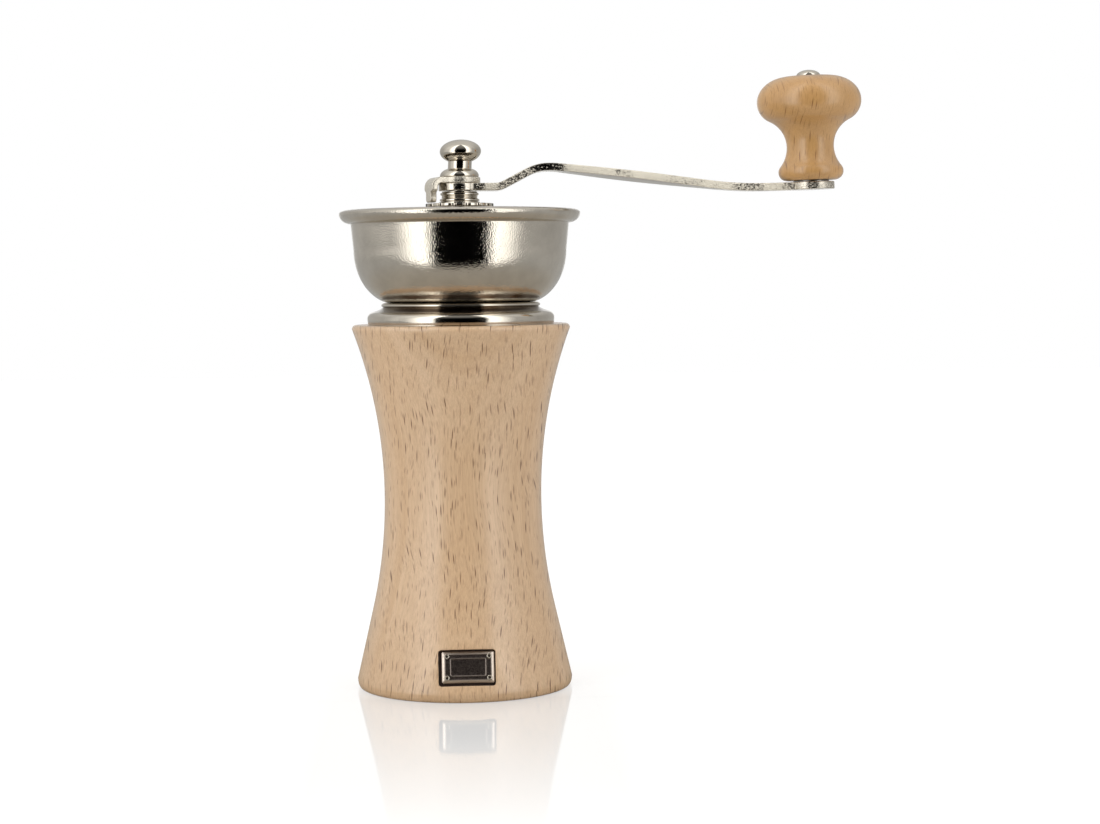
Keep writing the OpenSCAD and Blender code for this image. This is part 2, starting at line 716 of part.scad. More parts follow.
module square_hole(z0, z1) {
    w = square_af + 2 * run_fit;
    translate([-w / 2, -w / 2, z0]) cube([w, w, z1 - z0]);
}
module crank_arm() {
    top = [for (x = arm_stations) arm_side(x, 1)];
    bottom = [for (x = arm_stations) arm_side(x, -1)];
    low = arm_z0 - arm_fall - arm_t;
    color("silver") difference() {
        intersection() {
            rotate([90, 0, 0]) linear_extrude(4 * eye_r, center = true)
                polygon(concat(top, reversed(bottom)));
            translate([0, 0, low]) linear_extrude(arm_fall + arm_rise + 4 * arm_t) {
                circle(arm_hub_r);
                polygon([[0, -arm_w / 2], [arm_reach, -arm_end_w / 2], [arm_reach, arm_end_w / 2],
                    [0, arm_w / 2]]);
                translate([arm_reach, 0]) circle(eye_r);
            }
        }
        square_hole(arm_z0 - cut, lock_z + cut);
        at_knob() rod(pin_r + run_fit, -arm_t, arm_t);
    }
}
module lock_plate() {
    tongue_z = nut_z + tongue_gap;
    tab_z = arm_z0 - tab_drop;
    bend_c = [-tab_reach + tab_bend + lock_t, lock_z - tab_bend];
    profile = concat(
        [[0, lock_z], [0, crown_z]], arc(bend_c, tab_bend + lock_t, 90, 180, 8),
        [[-tab_reach, tongue_z], [-tab_reach + lock_t, tongue_z]], arc(bend_c, tab_bend, 180, 90, 4));
    color("silver") rotate(tab_turn) difference() {
        union() {
            rod(lock_r, lock_z, crown_z);
            intersection() {
                rotate([90, 0, 0]) linear_extrude(tab_w, center = true) polygon(profile);
                union() {
                    translate([-tab_reach - cut, -tab_w, tab_z])
                        cube([tab_reach + cut, 2 * tab_w, crown_z - tab_z + cut]);
                    translate([-tab_reach - cut, -tongue_w / 2, tongue_z])
                        cube([tab_reach + cut, tongue_w, crown_z - tongue_z]);
                }
            }
        }
        rotate(-tab_turn) square_hole(lock_z - cut, crown_z + cut);
    }
}
module crown_nut() {
    neck_z = crown_z + crown_foot_h;
    ball_z = neck_z + crown_neck_h;
    ball_c = [0, ball_z + crown_ball_h / 2];
    ball_from = -acos(crown_neck_r / crown_r);
    dome_r = crown_neck_r - crown_dome_in;
    color("silver") difference() {
        turned(concat(
            [[0, crown_z]],
            oval([dome_r, crown_z], crown_foot_r - dome_r, crown_foot_h, 0, 70, 7),
            [[crown_neck_r, neck_z], [crown_neck_r, ball_z]],
            oval(ball_c, crown_r, crown_ball_h / 2, ball_from, 90, 16)));
        rod(stud_r + run_fit, crown_z - cut, stud_end_z + screw_end_gap);
    }
}

// Knob

module knob_washer() {
    color("lightgray") at_knob() tube(knob_washer_r, pin_r + run_fit, arm_t / 2, arm_t / 2 + knob_washer_t);
}
module knob_pin() {
    color("silver") at_knob() {
        rod(pin_r, -arm_t / 2, pin_head_z);
        translate([0, 0, pin_head_z])
            turned(concat([[0, 0]], oval([0, 0], pin_head_r, pin_head_h, 0, 90, 10)));
    }
}
// Radius of a hollow that is upright at the neck and touches a round of radius r with its centre at c
function hollow(c, r) =
    let (a = c[0] - knob_neck_r, b = c[1] - knob_neck_z) (a * a + b * b - r * r) / (2 * (a + r));
function bearing(from, to) = atan2(to[1] - from[1], to[0] - from[0]);
module crank_knob() {
    wide_z = knob_h - knob_edge;
    foot_c = [knob_foot_r - knob_foot_round, knob_foot_round];
    head_c = [knob_r - knob_under, wide_z];
    low_r = hollow(foot_c, knob_foot_round);
    high_r = hollow(head_c, knob_under);
    low_c = [knob_neck_r + low_r, knob_neck_z];
    high_c = [knob_neck_r + high_r, knob_neck_z];
    profile = concat(
        [[0, 0]],
        arc(foot_c, knob_foot_round, -90, bearing(foot_c, low_c), 8),
        arc(low_c, low_r, 360 + bearing(low_c, foot_c), 180, 6),
        arc(high_c, high_r, 180, bearing(high_c, head_c), 10),
        arc(head_c, knob_under, bearing(head_c, high_c), 0, 8),
        oval([knob_r - knob_top_w, wide_z], knob_top_w, knob_edge, 0, 90, 10),
        [[0, knob_h]]);
    color("peru") at_knob() difference() {
        translate([0, 0, knob_z]) turned(profile);
        rod(pin_r + run_fit, knob_z - cut, knob_z + knob_h + cut);
    }
}

wooden_body();
neck_ring();
badge_plate();
badge_rivets();
collar();
seal_ring();
hopper_bowl();
bridge();
bridge_bush();
outer_burr();
burr_screws();
drive_washer();
notched_disc();
adjusting_nut();
shaft();
inner_burr();
burr_washer();
burr_nut();
burr_spring();
crank_arm();
lock_plate();
crown_nut();
knob_washer();
knob_pin();
crank_knob();
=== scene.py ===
"""Looks of a hand cranked coffee mill: beech body, nickel bowl and collar, wavy crank and mushroom knob.

Sizes are in millimetres, angles in degrees. +Z is up, the crank points to +X, the badge faces -Y.
"""
import json
import math

import bmesh
import bpy
import numpy as np
from mathutils import Matrix, Vector


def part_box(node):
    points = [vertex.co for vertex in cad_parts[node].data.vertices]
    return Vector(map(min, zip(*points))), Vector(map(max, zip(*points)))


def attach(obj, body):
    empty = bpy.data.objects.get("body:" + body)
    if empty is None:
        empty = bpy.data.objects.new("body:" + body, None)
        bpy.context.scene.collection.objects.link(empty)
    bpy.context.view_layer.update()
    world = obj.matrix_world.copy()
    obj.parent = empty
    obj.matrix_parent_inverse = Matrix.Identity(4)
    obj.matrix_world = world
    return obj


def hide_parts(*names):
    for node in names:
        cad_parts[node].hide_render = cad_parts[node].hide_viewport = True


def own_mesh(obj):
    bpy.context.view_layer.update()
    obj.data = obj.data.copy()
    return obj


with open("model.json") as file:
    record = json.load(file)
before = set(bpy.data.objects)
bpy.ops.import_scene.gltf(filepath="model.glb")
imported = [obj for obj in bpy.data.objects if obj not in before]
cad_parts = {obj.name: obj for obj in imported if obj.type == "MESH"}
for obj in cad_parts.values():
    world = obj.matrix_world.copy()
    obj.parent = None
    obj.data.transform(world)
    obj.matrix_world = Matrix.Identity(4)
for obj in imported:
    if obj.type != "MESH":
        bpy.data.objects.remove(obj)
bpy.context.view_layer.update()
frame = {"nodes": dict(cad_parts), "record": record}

MM = 0.001
RECORD = frame["record"]
BODY_OF = {node: body for body, nodes in RECORD["behaviour"]["bodies"].items() for node in nodes}


def span(node):
    """Lowest and highest corner of a CAD node, in millimetres."""
    return tuple(np.array(corner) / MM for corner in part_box(node))


def low(node):
    """Lowest height of a CAD node."""
    return span(node)[0][2]


def high(node):
    """Greatest height of a CAD node."""
    return span(node)[1][2]


# Camera: the photograph's frame, in its own pixels
IMAGE_W = 1100
FOCAL_PX = 2246
EYE = (0.0, -818.0, 150.0)
PITCH = -3.53
YAW = 2.245
ROLL = 0.55
SENSOR = 36.0

# Wood
BASE_R = 39.2
WAIST_R = 28.6
WAIST_Z = 69.5
BASE_LEAN = 13.0
TOP_R = 39.6
BASE_ROUND = 3.0
BASE_INSET = 1.3
TOP_ROUND = 1.5
CUP_R = 22.5
CUP_FLOOR = 8.0
CUP_ROUND = 4.0
FRONT_HALF = 15.0
BODY_H = high("wooden_body")

# Badge
BADGE_W = 18.6
BADGE_H = 11.2
BADGE_T = 1.2
BADGE_Z = 12.6
BADGE_SINK = 1.5
BADGE_TURN = 1.7
BADGE_CORNER = 0.7
POCKET_GAP = 0.75
POCKET_SHIFT = (-0.4, -0.3)
POCKET_LIP = 0.3
POCKET_CORNER = 1.1
POCKET_WALL = 0.03
BADGE_BORDER = (
    # inset from the plate's edge, height over its back, share of wear
    (0.25, 0.0, 0.0), (0.0, 0.2, 0.2), (0.0, 0.65, 0.8), (0.1, 0.76, 1.0), (0.5, 0.95, 1.0),
    (0.95, 1.14, 1.0), (1.08, 1.18, 0.9), (1.2, 1.17, 0.35), (1.3, 1.1, 0.0), (1.4, 1.08, 0.0))
BADGE_PANEL = (6.2, 3.0)
BADGE_FRAME = (
    # growth over the panel's half sizes, height over the plate's back, share of wear
    (0.25, 1.08, 0.0), (0.15, 1.12, 0.45), (0.0, 1.12, 0.45), (-0.1, 1.0, 0.05), (-0.25, 0.97, 0.0),
    (-1.0, 0.97, 0.0))
RIVET_R = 0.98
RIVET_INSET = 1.8
RIVET_SHANK = 0.4
RIVET_ROLL = 0.26

# Collar and bowl
FLANGE_R = 34.0
FLANGE_WIDEST = 134.3
FLANGE_BULGE = (3.1, 2.45)
FLANGE_UNDERCUT = (0.45, 2.2)
FLANGE_LINE = 0.3
BEAD_R = 28.9
BEAD_SIZE = (1.35, 0.85)
BEAD_RISE = 0.5
COVE_TOP = 138.2
COVE_PULL = 137.5
COVE_END = (32.1, 136.57)
# Painted shade: the collar's cove is painted brown out to this radius, fading over this width
COVE_SHADE_END_R = 32.4
COVE_SHADE_FADE = 1.2
SKIRT_INSET = 3.25
SKIRT_WALL = 2.4
WEB_T = 2.4
THROAT_R = 11.5
SEAT_Z = low("hopper_bowl")
BOWL_R = 38.6
BOWL_FLARE = 0.9
BOWL_BEND_R = 23.3
BOWL_CURVE_H = 19.5
BOWL_WALL = 1.0
RIM_ROUND = 2.1
RIM_OVER = 1.3
RIM_UNDER = 3.65
RIM_CREST = 3.3
RIM_ROLL_IN = 2.5
UNDER_ROUND = (0.25, 0.22)
RIM_TOP = high("hopper_bowl")

# Adjuster
DISC_R = 12.3
DISC_FACE_R = 10.6
NOTCHES = 16
NOTCH_R = 1.1
NUT_R = 7.5
SHAFT_R = 4.0

# Crank
ARM_REACH = 128.2
ARM_T = 2.7
ARM_EDGE = 0.3
ARM_W = 12.0
ARM_END_W = 10.0
ARM_HUB_R = 7.6
EYE_R = 8.4
RAMP_START = 13.2
RAMP_RUN = 18.6
BEND_IN = 3.0
BEND_OUT = 7.5
ARM_RISE = 7.0
ARM_FALL = 7.85
FALL_IN = 3.0
FALL_OUT = 17.0
ARM_TAIL = 19.6
END_TILT = 1.5
TILT_RUN = 8.0
ARM_TWIST = 5.0
TWIST_FROM = 26.0
TWIST_TO = 100.0
ARM_FROST_AND_HIGHLIGHT = (
    # distance from the spindle, share of the edge that is frosted there, the frost partly painting highlights
    (-9, 0.1), (3, 0.1), (5, 0.25), (9, 0.3), (10, 0.8), (13, 0.75), (15, 0.4), (26, 0.42), (29, 0.12),
    (34, 0.12), (37, 0.3), (40, 0.9), (55, 0.97), (57, 0.6), (62, 0.6), (64, 0.97), (72, 0.9), (77, 0.65),
    (87, 0.7), (90, 0.95), (97, 0.93), (100, 0.5), (109, 0.45), (111, 0.88), (116, 0.8), (119, 0.45),
    (124, 0.3), (140, 0.3))
LOCK_T = 2.3
LOCK_R = 7.6
LOCK_EDGE = 0.45
TAB_W = 8.6
TAB_SOFT = 1.1
TONGUE_W = 5.6
TONGUE_ROUND = 1.2
TAB_BEND = 1.5
TAB_GAP = 2.1
TAB_TURN = 20.0
CROWN_Z = low("crown_nut")
LOCK_Z = CROWN_Z - LOCK_T
ARM_Z = LOCK_Z - ARM_T

# Crown nut
CROWN_FOOT_R = 7.1
CROWN_FOOT_H = 3.2
CROWN_NECK_R = 4.3
CROWN_NECK_H = 1.7
CROWN_R = 7.5
CROWN_BALL_H = 8.7
CROWN_LEAN = 0.055

# Knob
KNOB_H = 37.6
KNOB_R = 18.9
KNOB_NECK_R = 8.55
KNOB_NECK_Z = 12.3
KNOB_FOOT_R = 11.8
KNOB_FOOT_ROUND = 3.15
KNOB_EDGE = 9.0
KNOB_TOP_W = 11.0
KNOB_UNDER = 7.5
PIN_R = 2.5
PIN_HEAD_R = 4.35
PIN_HEAD_H = 2.3
KNOB_WASHER_R = 6.5
KNOB_WASHER_T = 0.5
FACE_GAP = 0.1

# Spring
SPRING_TURNS = 6
WIRE_R = 0.5


# Curves and surfaces

def unit(vector):
    """The vector's direction."""
    return vector / np.linalg.norm(vector)


def arc(centre, radius, start, end, steps):
    """Points on part of a circle or, with a pair of radii, of an ellipse, from start to end."""
    turn = np.radians(np.linspace(start, end, steps + 1))
    return np.asarray(centre) + np.asarray(radius) * np.stack([np.cos(turn), np.sin(turn)], axis=-1)


def bow(start, pull, end, steps):
    """Points on a quadratic Bezier curve."""
    t = np.linspace(0, 1, steps + 1)[:, None]
    return (1 - t) ** 2 * np.array(start) + 2 * t * (1 - t) * np.array(pull) + t ** 2 * np.array(end)


def rounded(*corners, steps=5, support=0.12):
    """Closed outline through corners (x, y, radius).

    A corner with a radius becomes the arc that touches both sides, as a rational Bezier curve whose
    middle weight is the sine of half the corner's angle, with a support point on each side.
    """
    points = np.array([corner[:2] for corner in corners], float)
    share = np.linspace(0, 1, steps + 1)[:, None]
    line = []
    for i, corner in enumerate(corners):
        at = points[i]
        if len(corner) < 3:
            line.append(at[None])
            continue
        to_last = unit(points[i - 1] - at)
        to_next = unit(points[(i + 1) % len(points)] - at)
        half = 0.5 * np.arccos(np.clip(to_last @ to_next, -1, 1))
        reach = corner[2] / np.tan(half)
        weights = np.hstack([(1 - share) ** 2, 2 * share * (1 - share) * np.sin(half), share ** 2])
        control = np.stack([at + reach * to_last, at, at + reach * to_next])
        curve = weights @ control / weights.sum(axis=1, keepdims=True)
        line += [(at + (reach + support) * to_last)[None], curve, (at + (reach + support) * to_next)[None]]
    return np.concatenate(line)


def lathe(profile, sectors=160):
    """Surface of revolution: each profile point (r, z) is carried round the axis, from the front."""
    turn = np.linspace(0, 2 * np.pi, sectors, endpoint=False)
    r, z = np.asarray(profile, float).T[:, :, None]
    return np.stack([r * np.sin(turn), -r * np.cos(turn), z + 0 * turn], axis=-1)


def turned(points, degrees):
    """Points turned round the z axis."""
    c, s = np.cos(np.radians(degrees)), np.sin(np.radians(degrees))
    return points @ np.array([[c, s, 0], [-s, c, 0], [0, 0, 1]])


def skin(name, *grids, ring=True, loop=False, crease=38, **marks):
    """Mesh over grids of points: quads join neighbouring rows and columns.

    ring closes the columns, loop closes the rows. Doubles are merged, so rows that shrink to a point
    become poles. marks are named values, one for each point. Edges sharper than crease stay sharp.
    """
    points, quads, count = [], [], 0
    for grid in grids:
        rows, columns = grid.shape[:2]
        index = count + np.arange(rows * columns).reshape(rows, columns)
        if ring:
            index = np.hstack([index, index[:, :1]])
        if loop:
            index = np.vstack([index, index[:1]])
        corners = [index[:-1, :-1], index[:-1, 1:], index[1:, 1:], index[1:, :-1]]
        quads.append(np.stack(corners, axis=-1).reshape(-1, 4))
        points.append(grid.reshape(-1, 3))
        count += rows * columns
    mesh = bpy.data.meshes.new(name)
    mesh.from_pydata((np.concatenate(points) * MM).tolist(), [], np.concatenate(quads).tolist())
    for mark, values in marks.items():
        held = mesh.attributes.new(mark, "FLOAT", "POINT")
        held.data.foreach_set("value", np.asarray(values, np.float32).ravel())
    return joined(mesh, crease)


MERGE = 2e-6


def joined(mesh, crease):
    """Object of a mesh whose doubles are merged and whose faces point outwards."""
    work = bmesh.new()
    work.from_mesh(mesh)
    bmesh.ops.remove_doubles(work, verts=work.verts, dist=MERGE)
    bmesh.ops.dissolve_degenerate(work, edges=work.edges, dist=MERGE / 2)
    bmesh.ops.recalc_face_normals(work, faces=work.faces)
    work.to_mesh(mesh)
    work.free()
    mesh.shade_smooth()
    mesh.set_sharp_from_angle(angle=math.radians(crease))
    piece = bpy.data.objects.new(mesh.name, mesh)
    bpy.context.scene.collection.objects.link(piece)
    return piece


def dress(piece, node, finish):
    """The piece stands for a CAD node: it rides on the node's body and takes its slot."""
    piece.data.materials.append(finish)
    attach(piece, BODY_OF[node])
    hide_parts(node)
    return piece


# Finishes

class Nodes:
    """A node tree being built: each method adds a node and hands back its output."""

    def __init__(self, tree):
        self.tree = tree

    def node(self, kind, sockets, output=0, **settings):
        """Node of the given kind. A socket takes a plain value or the output of another node."""
        made = self.tree.nodes.new("ShaderNode" + kind)
        for key, value in settings.items():
            setattr(made, key, value)
        for socket, value in sockets.items():
            if isinstance(value, bpy.types.NodeSocket):
                self.tree.links.new(value, made.inputs[socket])
            else:
                made.inputs[socket].default_value = value
        return made.outputs[output]

    def math(self, operation, *values):
        return self.node("Math", dict(enumerate(values)), operation=operation)

    def remap(self, value, from_low, from_high, to_low=0.0, to_high=1.0, **settings):
        """Value carried from one range to another, and held inside it."""
        ranges = {"From Min": from_low, "From Max": from_high, "To Min": to_low, "To Max": to_high}
        return self.node("MapRange", {"Value": value, **ranges}, **settings)


class Finish(Nodes):
    """A material being mixed, with places on the piece in millimetres."""

    def __init__(self, name, **surface):
        self.material = bpy.data.materials.new(name)
        self.material.use_nodes = True
        super().__init__(self.material.node_tree)
        self.shader = self.tree.nodes["Principled BSDF"]
        for socket, value in surface.items():
            self.shader.inputs[socket.replace("_", " ")].default_value = value
        object_place = self.node("TexCoord", {}, "Object")
        self.place = self.vector("MULTIPLY", object_place, (1 / MM,) * 3)

    def vector(self, operation, *values):
        return self.node("VectorMath", dict(enumerate(values)), operation=operation)

    def length(self, value):
        return self.node("VectorMath", {0: value}, "Value", operation="LENGTH")

    def stretched(self, sizes, shift=(0, 0, 0)):
        """The place on the piece, in units of the given sizes in millimetres."""
        moved = self.vector("ADD", self.place, shift)
        return self.vector("DIVIDE", moved, sizes)

    def noise(self, sizes, detail=2.0, rough=0.5, shift=(0, 0, 0), bend=0.0):
        """Cloudy values whose clouds have about the given sizes."""
        return self.node("TexNoise", {
            "Vector": self.stretched(sizes, shift), "Scale": 1.0, "Detail": detail, "Roughness": rough,
            "Distortion": bend}, "Fac")

    def blend(self, share, under, over):
        """Colour over colour, by a share. A colour is a triple or the output of a node."""
        sockets = {0: share}
        for socket, colour in ((6, under), (7, over)):
            sockets[socket] = colour if isinstance(colour, bpy.types.NodeSocket) else (*colour, 1)
        return self.node("Mix", sockets, 2, data_type="RGBA")

    def mark(self, name):
        """Value that the piece's points carry."""
        return self.node("Attribute", {}, "Fac", attribute_name=name)

    def feed(self, socket, value):
        self.tree.links.new(value, self.shader.inputs[socket])

    def bump(self, height, depth, strength=1.0):
        """Relief from height values between 0 and 1, depth in millimetres."""
        normal = self.node("Bump", {"Height": height, "Distance": depth * MM, "Strength": strength}, "Normal")
        self.feed("Normal", normal)


# Painted shade and reflection: brown laid into the collar's cove, where shade falls under the bead
COVE_PAINTED_SHADE = (0.1, 0.065, 0.042)
# Painted shade: near black for the badge's pocket and the rounded lip that falls into it
POCKET_PAINTED_SHADE = (0.03, 0.013, 0.007)
# Frosted edge colour: a pale cream that partly serves as a painted highlight
FROST_AND_HIGHLIGHT_TINT = (0.78, 0.73, 0.62)


def spindles(wood, cell, half, shift):
    """Ray flecks: each cell of a Voronoi pattern holds one spindle round its point.

    A spot's distance from the point, counted in the spindle's half sizes, is under 1 inside it. The
    cell's own random value makes some spindles pale and others strong.
    """
    spot = wood.stretched(cell, shift)
    cells = {"Vector": spot, "Scale": 1.0, "Randomness": 1.0}
    point = wood.node("TexVoronoi", cells, "Position", feature="F1")
    chance = wood.node("TexVoronoi", cells, "Color", feature="F1")
    offset = wood.vector("MULTIPLY", wood.vector("SUBTRACT", spot, point), tuple(np.divide(cell, half)))
    inside = wood.remap(wood.length(offset), 1.0, 0.45)
    strength = wood.remap(wood.node("SeparateColor", {0: chance}, "Red"), 0.05, 0.75, 0.35, 1.0)
    return wood.math("MULTIPLY", inside, strength)


def beech(name, pale, warm, dark, fleck_share, **surface):
    """Beech: growth rings in planes across y, fibres along z, and ray flecks drawn out along y."""
    wood = Finish(name, **surface)
    sway = wood.remap(wood.noise((28, 60, 34), 1.0, 0.5, (15, 4, 6)), 0.0, 1.0, -4.5, 4.5)
    wood.place = wood.vector("ADD", wood.place, wood.node("CombineXYZ", {"X": sway}))
    rings = wood.remap(wood.noise((160, 5.5, 260), 3.0, 0.55, bend=0.3), 0.32, 0.68)
    tone = wood.remap(wood.noise((11, 40, 140), 2.0, 0.5, (7, 3, 11)), 0.3, 0.7)
    colour = wood.blend(rings, pale, warm)
    colour = wood.blend(wood.math("MULTIPLY", tone, 0.55), colour, warm)
    fibres = wood.noise((0.55, 0.55, 26), 3.0, 0.65)
    fine = wood.noise((0.22, 0.22, 5), 2.0, 0.6, (3, 9, 4))
    streaks = wood.math("ADD", wood.math("MULTIPLY", fibres, 0.6), wood.math("MULTIPLY", fine, 0.4))
    colour = wood.blend(wood.remap(streaks, 0.4, 0.66, 0.0, 0.3), colour, dark)
    broad = spindles(wood, (2.1, 24, 5.6), (0.26, 9, 2.6), (1, 5, 2))
    small = spindles(wood, (1.5, 14, 4.0), (0.17, 5, 1.5), (4, 2, 9))
    flecks = wood.math("MAXIMUM", broad, wood.math("MULTIPLY", small, 0.7))
    colour = wood.blend(wood.math("MULTIPLY", flecks, fleck_share), colour, dark)
    # Painted shade: near black where the pocket mark says the badge's pocket and its lip are
    colour = wood.blend(wood.mark("pocket"), colour, POCKET_PAINTED_SHADE)
    wood.feed("Base Color", colour)
    rough = surface["Roughness"]
    wood.feed("Roughness", wood.remap(streaks, 0.3, 0.7, rough - 0.05, rough + 0.08))
    relief = wood.math("SUBTRACT", streaks, wood.math("MULTIPLY", flecks, 0.5))
    wood.bump(relief, 0.05, 0.5)
    return wood.material


def nickel(name, shine, tint, grain, grain_depth, smear=0.06):
    """Nickel: clouds of tarnish, smears that change its shine, a fine grain, and painted brown shade in
    hollows.
    """
    metal = Finish(name, Metallic=1.0)
    clouds = metal.noise((9, 9, 9), 4.0, 0.6)
    darker = tuple(0.86 * value for value in tint)
    colour = metal.blend(metal.remap(clouds, 0.35, 0.7), tint, darker)
    # Painted shade: brown where a piece marks its hollow, a little patchy with the clouds
    cove_shade_share = metal.math("MULTIPLY", metal.mark("grime"), metal.remap(clouds, 0.25, 0.6, 0.75, 1.0))
    metal.feed("Base Color", metal.blend(cove_shade_share, colour, COVE_PAINTED_SHADE))
    smears = metal.noise((3.5, 3.5, 2.0), 4.0, 0.65, (5, 1, 8))
    metal.feed("Roughness", metal.remap(smears, 0.3, 0.75, shine, shine + smear))
    metal.bump(metal.noise((grain,) * 3, 0.0), grain_depth)
    return metal.material


def stamped_nickel(name, shine, tint):
    """Nickel over stamped sheet: bright faces, and sheared edges frosted in places, the frost partly a
    painted highlight.
    """
    metal = Finish(name, Metallic=1.0)
    edge = metal.mark("edge")
    frost = metal.mark("frost")
    pits = metal.remap(metal.noise((0.45, 0.45, 0.6), 3.0, 0.7), 0.42, 0.62)
    peel = metal.noise((1.1, 1.1, 0.9), 2.0, 0.6, (1, 8, 3))
    grit = metal.remap(metal.noise((0.8, 0.8, 0.6), 4.0, 0.7, (9, 2, 5)), 0.32, 0.68)
    speckled = metal.remap(metal.math("SUBTRACT", frost, grit), -0.15, 0.15)
    change = metal.math("MULTIPLY", edge, metal.math("SUBTRACT", speckled, frost))
    frosted = metal.math("ADD", frost, change)
    scuffs = metal.noise((4.0, 0.5, 2.0), 4.0, 0.7, (2, 6, 1))
    clouds = metal.remap(metal.noise((8, 8, 8), 4.0, 0.6), 0.35, 0.7)
    darker = tuple(0.84 * value for value in tint)
    colour = metal.blend(clouds, tint, darker)
    # The frost's pale cream is partly a painted highlight
    colour = metal.blend(frosted, colour, FROST_AND_HIGHLIGHT_TINT)
    metal.feed("Base Color", colour)
    metal.feed("Metallic", metal.remap(frosted, 0.0, 1.0, 1.0, 0.35))
    plain = metal.remap(scuffs, 0.3, 0.75, shine, shine + 0.12)
    sheared = metal.math("MULTIPLY", edge, metal.remap(frost, 0.1, 0.4, 0.02, 0.16))
    dull = metal.math("ADD", metal.math("MULTIPLY", frosted, 0.18), sheared)
    metal.feed("Roughness", metal.math("ADD", plain, dull))
    rough = metal.math("MULTIPLY", metal.math("ADD", metal.math("MULTIPLY", pits, frosted), peel), edge)
    metal.bump(metal.math("ADD", rough, metal.math("MULTIPLY", scuffs, 0.12)), 0.05)
    return metal.material


def gunmetal(name):
    """Dark patinated plate, with bright metal where its border and rivet seats are worn."""
    metal = Finish(name, Metallic=1.0)
    worn = metal.mark("worn")
    speckle = metal.noise((0.5, 0.5, 0.5), 4.0, 0.7)
    patina = metal.blend(metal.remap(speckle, 0.3, 0.7), (0.07, 0.054, 0.048), (0.2, 0.165, 0.15))
    metal.feed("Base Color", metal.blend(worn, patina, (0.7, 0.61, 0.53)))
    metal.feed("Roughness", metal.remap(speckle, 0.3, 0.7, 0.26, 0.46))
    metal.bump(speckle, 0.02)
    return metal.material


def turned_metal(name, tint, shine, wear, metallic=1.0):
    """Plain worked metal or rubber: tool marks in rings, stains and a grain."""
    metal = Finish(name, Metallic=metallic)
    stains = metal.remap(metal.noise((5, 5, 5), 4.0, 0.65), 0.35, 0.7)
    stained = tuple(wear * value for value in tint)
    metal.feed("Base Color", metal.blend(stains, tint, stained))
    grain = metal.noise((1.2, 1.2, 0.5), 3.0, 0.6)
    metal.feed("Roughness", metal.remap(grain, 0.3, 0.7, shine, shine + 0.18))
    metal.bump(metal.noise((6, 6, 0.35), 3.0, 0.6), 0.03)
    return metal.material


NICKEL = (0.67, 0.62, 0.54)
BEECH = beech("beech", (0.655, 0.47, 0.31), (0.555, 0.37, 0.215), (0.155, 0.075, 0.032), 1.0,
              Roughness=0.42, IOR=1.5, Coat_Weight=0.8, Coat_Roughness=0.24)
KNOB_BEECH = beech("beech_knob", (0.58, 0.35, 0.149), (0.465, 0.263, 0.098), (0.19, 0.08, 0.025), 0.85,
                   Roughness=0.3, IOR=1.5, Coat_Weight=0.5, Coat_Roughness=0.2)
SATIN = nickel("nickel_satin", 0.092, NICKEL, 0.46, 0.055, 0.03)
POLISHED = nickel("nickel_polished", 0.08, NICKEL, 0.8, 0.004, 0.07)
STAMPED = stamped_nickel("nickel_stamped", 0.08, NICKEL)
GUNMETAL = gunmetal("gunmetal")
STEEL = turned_metal("steel", (0.5, 0.49, 0.47), 0.24, 0.72)
BURR_STEEL = turned_metal("burr_steel", (0.13, 0.125, 0.12), 0.36, 0.6)
BRASS = turned_metal("brass", (0.66, 0.44, 0.16), 0.24, 0.75)
RUBBER = turned_metal("rubber", (0.02, 0.02, 0.021), 0.55, 0.7, 0.0)


# Wooden body

LEAN = math.radians(BASE_LEAN)
ARC_H = ((math.tan(LEAN) * (WAIST_Z - BASE_ROUND) - (BASE_R - WAIST_R))
         / (math.tan(LEAN) - math.tan(LEAN / 2)))
CONE_Z = WAIST_Z - ARC_H
LOWER_ARC = ARC_H / math.sin(LEAN)
TOP_DR = TOP_R - WAIST_R
UPPER_ARC = (TOP_DR ** 2 + (BODY_H - TOP_ROUND - WAIST_Z) ** 2) / (2 * TOP_DR)


def flank(z):
    """Radius of the wood: an arc over the waist, an arc under it, and a straight cone at the base."""
    over = WAIST_R + UPPER_ARC - np.sqrt(UPPER_ARC ** 2 - np.maximum(z - WAIST_Z, 0) ** 2)
    bent = np.clip(WAIST_Z - z, 0, ARC_H)
    under = LOWER_ARC - np.sqrt(LOWER_ARC ** 2 - bent ** 2)
    return over + under + np.maximum(CONE_Z - z, 0) * math.tan(LEAN)


BADGE_R = float(flank(BADGE_Z))
UP_FLANK = np.array([0, math.sin(LEAN), math.cos(LEAN)])
OFF_FLANK = np.array([0, -math.cos(LEAN), math.sin(LEAN)])
BADGE_AT = np.array([0, -BADGE_R, BADGE_Z])


def on_flank(local):
    """Points of the badge's own frame (right, up the flank, outwards) brought to the front of the wood."""
    right, up, out = np.moveaxis(np.asarray(local, float), -1, 0)[..., None]
    return turned(BADGE_AT + right * np.array([1, 0, 0]) + up * UP_FLANK + out * OFF_FLANK, BADGE_TURN)


def pocket_lines(half, fine):
    """Grid lines over half a pocket: even inside, crowded at its wall and round its lip."""
    bend = half - 2 * fine - POCKET_CORNER * (1 - np.cos(np.radians(np.linspace(90, 0, 7))))
    inside = np.concatenate([np.linspace(0, bend[0], 8)[:-1], bend])
    lip = half + POCKET_LIP * (1 - np.cos(np.radians(np.linspace(0, 90, 6))))
    line = np.concatenate([inside, [half - fine], lip])
    return np.concatenate([-line[:0:-1], line])


